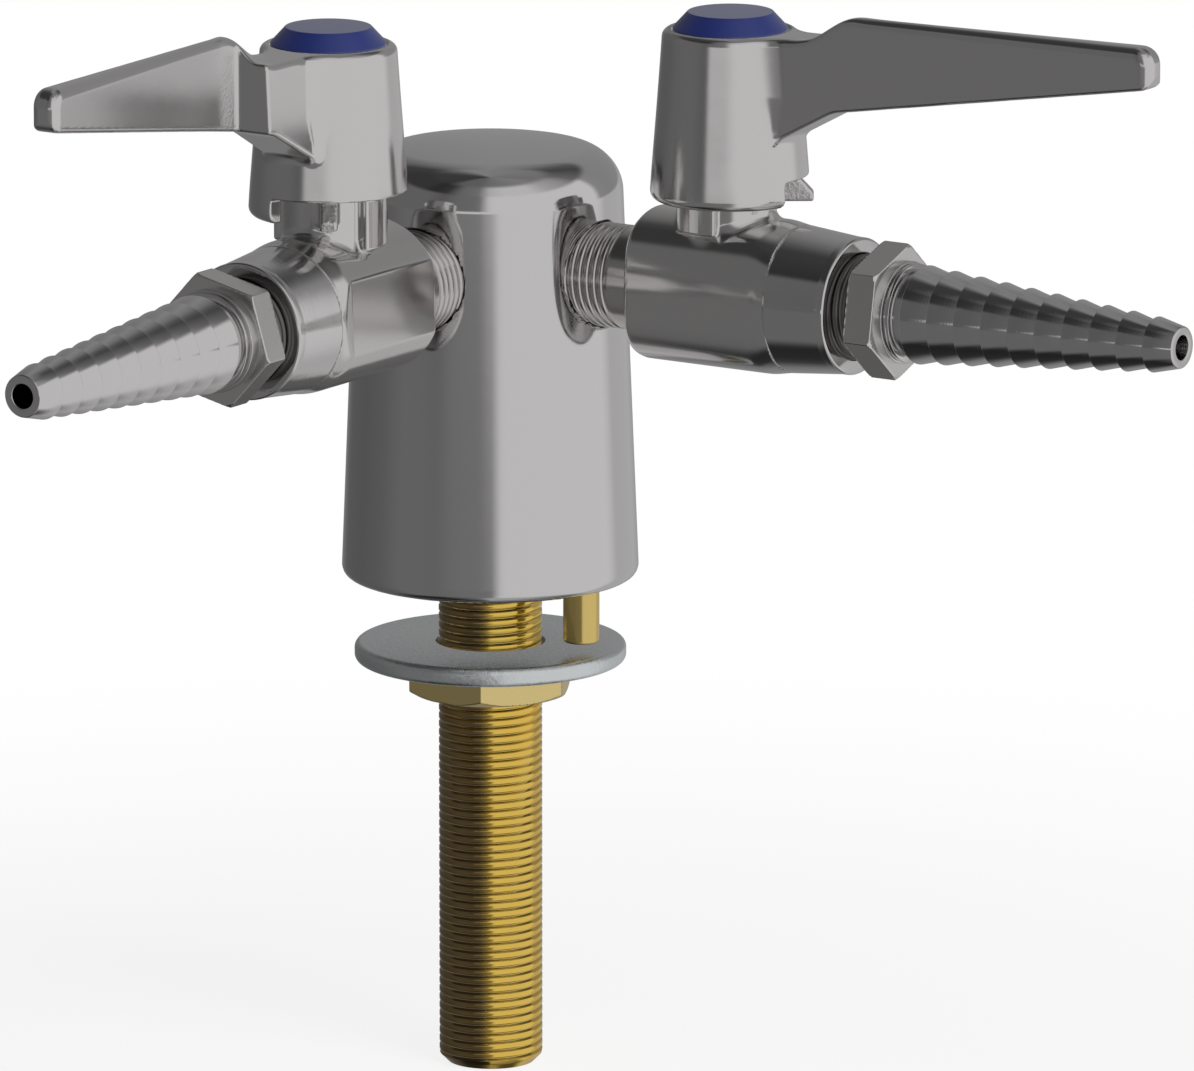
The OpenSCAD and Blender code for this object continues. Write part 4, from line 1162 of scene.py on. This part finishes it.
def thread_rows(low, high, plain, chamfer):
    """Rows of points for a thread between two stations. plain is where a plain length begins, if any."""
    turns = int(math.ceil((high - low) / THREAD_PITCH)) + 2
    rows = np.array([low + (t - 1 + a) * THREAD_PITCH for t in range(turns) for a, _ in THREAD_SHAPE])
    turn = np.arange(THREAD_COLUMNS) / THREAD_COLUMNS
    x = np.clip(rows[:, None] + turn[None, :] * THREAD_PITCH, low, high)
    phase = ((x - low) / THREAD_PITCH - turn[None, :] + 1e-6) % 1.0
    shape = np.array(THREAD_SHAPE + [(1.0, THREAD_SHAPE[0][1])])
    radius = thread_r - THREAD_DEPTH * np.interp(phase, shape[:, 0], shape[:, 1])
    if plain:
        radius = radius + (thread_r - radius) * ease(x, plain - 0.5, plain + 0.3)
    radius = np.minimum(radius, thread_r - chamfer + np.minimum(x - low, high - x))
    angle = np.repeat(turn[None, :] * 2 * math.pi, len(rows), 0)
    return np.stack([x, radius * np.cos(angle), radius * np.sin(angle)], 2), turn


print("thread pitch", round(THREAD_PITCH, 3), "mm, depth", THREAD_DEPTH, "mm")

# %% Close a threaded tube
def make_threaded(name, low, high, bore_r, place, material, node, plain=None, chamfer=0.4):
    """A threaded tube about +X between two stations, closed at its ends, moved to its place by place()."""
    rows, turn = thread_rows(low, high, plain, chamfer)
    verts = rows.reshape(-1, 3)
    count, step, columns = len(rows), len(THREAD_SHAPE), THREAD_COLUMNS
    faces = []
    for row in range(count - 1):
        for k in range(columns):
            shift = step if k == columns - 1 else 0
            if row + 1 + shift < count:
                a, b = row * columns + k, (row + shift) * columns + (k + 1) % columns
                faces.append((a, b, b + columns, a + columns))
    circle = np.stack([np.cos(turn * 2 * math.pi), np.sin(turn * 2 * math.pi)], 1) * bore_r
    base, last = len(verts), (count - 1) * columns
    verts = np.concatenate([verts, np.column_stack([np.full(columns, low), circle]),
                            np.column_stack([np.full(columns, high), circle])])
    for k in range(columns):
        n = (k + 1) % columns
        faces.append((base + k, base + n, n, k))
        faces.append((last + k, last + n, base + columns + n, base + columns + k))
        faces.append((base + columns + k, base + columns + n, base + n, base + k))
    piece = make_piece(name, place(verts), faces, material, "turret", node)
    clean = bmesh.new()
    clean.from_mesh(piece.data)
    bmesh.ops.remove_doubles(clean, verts=clean.verts, dist=1e-7)
    bmesh.ops.dissolve_degenerate(clean, edges=clean.edges, dist=1e-7)
    clean.to_mesh(piece.data)
    clean.free()
    piece.data.set_sharp_from_angle(angle=math.radians(35))
    return piece


print("columns of points around a thread:", THREAD_COLUMNS)

# %% [markdown]
# ## Threaded pieces
# The shank is a length of threaded brass pipe. The nipples are shorter and plated, with a plain length before
# the valve. The nozzle's own thread only shows as a dark groove behind its hexagon: its metal is painted
# dark, a painted shade for that deep groove. All three are the same tube with other stations.

# %% Cut the threads
SHANK_TOP, SHANK_CHAMFER = 15.0, 1.4
NIPPLE_FROM, NIPPLE_TO, NIPPLE_PLAIN = 14.5, 38.8, 28.0
PIPE_BORE_R, NOZZLE_THREAD_BORE_R, NOZZLE_THREAD_FROM = 5.5, 4.0, 62.8

make_threaded("shank_pipe", shank_low, SHANK_TOP, PIPE_BORE_R, stand_up, shank_brass, "shank",
              chamfer=SHANK_CHAMFER)
for side, turn in VALVES.items():
    def to_valve(verts, angle=turn):
        return about_turret(verts + [0, 0, flow_z], angle)

    make_threaded(f"{side}_nipple_thread", NIPPLE_FROM, NIPPLE_TO, PIPE_BORE_R, to_valve, nickel_thread,
                  f"{side}_nipple", plain=NIPPLE_PLAIN)
    make_threaded(f"{side}_nozzle_thread", NOZZLE_THREAD_FROM, HEX_U, NOZZLE_THREAD_BORE_R, to_valve,
                  painted_shade_thread, f"{side}_hose_nozzle")

# %% [markdown]
# ## Washer
# Under the bench goes a thick zinc-plated washer with well rounded edges. It is a ring with four corners, and
# the outer two get a large radius.

# %% Spin the washer
WASHER_R, WASHER_EDGE = 22.5, 1.1
WASHER_HOLE_R, HOLE_EDGE = 9.07, 0.15
WASHER_SEGMENTS = 192

washer_low, washer_top = [corner[2] for corner in span("deck_washer")]
verts, faces = spin(round_corners([
    (washer_low, WASHER_HOLE_R, HOLE_EDGE), (washer_low, WASHER_R, WASHER_EDGE),
    (washer_top, WASHER_R, WASHER_EDGE), (washer_top, WASHER_HOLE_R, HOLE_EDGE)], 8), WASHER_SEGMENTS)
make_piece("washer_ring", stand_up(verts), faces, zinc, "washer", "deck_washer")

# %% [markdown]
# ## Lock nut
# A thin brass hexagon holds the washer up. Its lower corners are turned off by a cone, its upper ones less.
# It is a distance like the nozzle's hexagon, with the thread's bore taken out.

# %% Cast the nut
NUT_HALF, NUT_TURN, NUT_EDGE, NUT_CELL = 12.7, 27, 0.25, 0.35
NUT_LOWER_R, NUT_UPPER_R = 12.6, 14.2
NUT_CONE, NUT_CONE_LENGTH = 1.7, 1.97
nut_low, nut_high = span("lock_nut")


def nut_distance(x, y, z):
    r = np.sqrt(x * x + y * y)
    ends = np.maximum(nut_low[2] - z, z - nut_high[2])
    lower = (r - NUT_LOWER_R - (z - nut_low[2]) * NUT_CONE) / NUT_CONE_LENGTH
    upper = (r - NUT_UPPER_R - (nut_high[2] - z) * NUT_CONE) / NUT_CONE_LENGTH
    block = round_cut(hexagon(x, y, NUT_HALF, NUT_TURN), ends, NUT_EDGE)
    return carve(round_cut(block, np.maximum(lower, upper), 0.2), r - thread_r - 0.05, 0.4)


verts, faces, normals = cast_mesh(nut_distance, nut_low, nut_high, NUT_CELL)
make_piece("nut_hexagon", verts, faces, nut_brass, "nut", "lock_nut", normals)

# %% [markdown]
# ## Anti-rotation pin
# A brass pin stands beside the shank and keeps the turret from turning on the bench. Its thinner end is
# pressed into the turret, and its free end is rounded.

# %% Spin the pin
PIN_LOW, PIN_TOP = -9.3, 8.0
PIN_SHANK_R, PIN_SPIGOT_R, PIN_END_R = 3.0, 2.5, 0.5
AXIS_R = 0.01

verts, faces = spin(round_corners([
    (PIN_LOW, AXIS_R), (PIN_LOW, PIN_SHANK_R, PIN_END_R), (0.0, PIN_SHANK_R), (0.0, PIN_SPIGOT_R),
    (PIN_TOP, PIN_SPIGOT_R), (PIN_TOP, AXIS_R)]), 64)
make_piece("pin", stand_up(verts) + [PIN_U, 0, 0], faces, pin_brass, "turret",
           "anti_rotation_pin")

# %% [markdown]
# ## Index caps
# A flat cone of blue plastic that snaps into the hub and hides the screw. It is a turned shape, with a thin
# skirt that grips the recess, and it turns with its lever.

# %% Spin the caps
CAP_LOW, CAP_RISE = 36.3, 2.7
CAP_SKIRT_R, CAP_SKIRT_INNER_R = 8.6, 7.3
CAP_BASE_R, CAP_TOP_R = 9.42, 6.97

verts, faces = spin(round_corners([
    (CAP_LOW, CAP_SKIRT_INNER_R), (CAP_LOW, CAP_SKIRT_R), (SEAT_Z + 0.1, CAP_SKIRT_R),
    (SEAT_Z + 0.1, CAP_BASE_R - 0.02), (RIM_Z + 0.05, CAP_BASE_R, 0.15), (RIM_Z + CAP_RISE, CAP_TOP_R, 0.35),
    (RIM_Z + CAP_RISE, AXIS_R), (SEAT_Z, AXIS_R), (SEAT_Z, CAP_SKIRT_INNER_R)]), 128)
verts = stand_up(verts) + [hub_u, 0, flow_z]
for side, turn in VALVES.items():
    make_piece(f"{side}_cap", about_turret(verts, turn), faces, cap_blue, f"{side}_lever",
               f"{side}_index_cap")

# %% [markdown]
# ## Hidden pieces
# Seats, balls, stems, packings and screws don't show in the photograph, but they are in the valve. The CAD
# nodes are good enough for them, and only get their finish here.

# %% Dress the hidden pieces
HIDDEN = {"inlet_seat": ptfe, "outlet_seat": ptfe, "thrust_washer": ptfe, "stem_packing": ptfe,
          "ball": ball_chrome, "stem": inner_brass, "packing_nut": inner_brass, "handle_screw": screw_steel}
for side in VALVES:
    for part, finish in HIDDEN.items():
        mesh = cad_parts[f"{side}_{part}"].data
        mesh.materials.clear()
        mesh.materials.append(finish)
print("dressed", len(HIDDEN), "hidden pieces on each side")

# %% [markdown]
# ## What the chrome doesn't mirror
# Pieces of a fitting mirror each other. The photograph's chrome shows little of that. Here the shank would
# draw gold lines in the chrome, and each handle would darken the other's hub. So the shank, the handles with
# what sits under them, and the caps are hidden from glossy rays. They still show to the camera, and they
# still cast shadows.

# %% Hide pieces from glossy rays
unmirrored = [bpy.data.objects["shank_pipe"]]
for side in VALVES:
    unmirrored += [bpy.data.objects[f"{side}_{part}"] for part in ("lever", "cap")]
    unmirrored += [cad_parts[f"{side}_{part}"] for part in ("stem", "packing_nut", "handle_screw")]
for piece in unmirrored:
    piece.visible_glossy = False
print("hidden from glossy rays:", len(unmirrored), "pieces; built after", round(time.time() - clock, 1), "s")
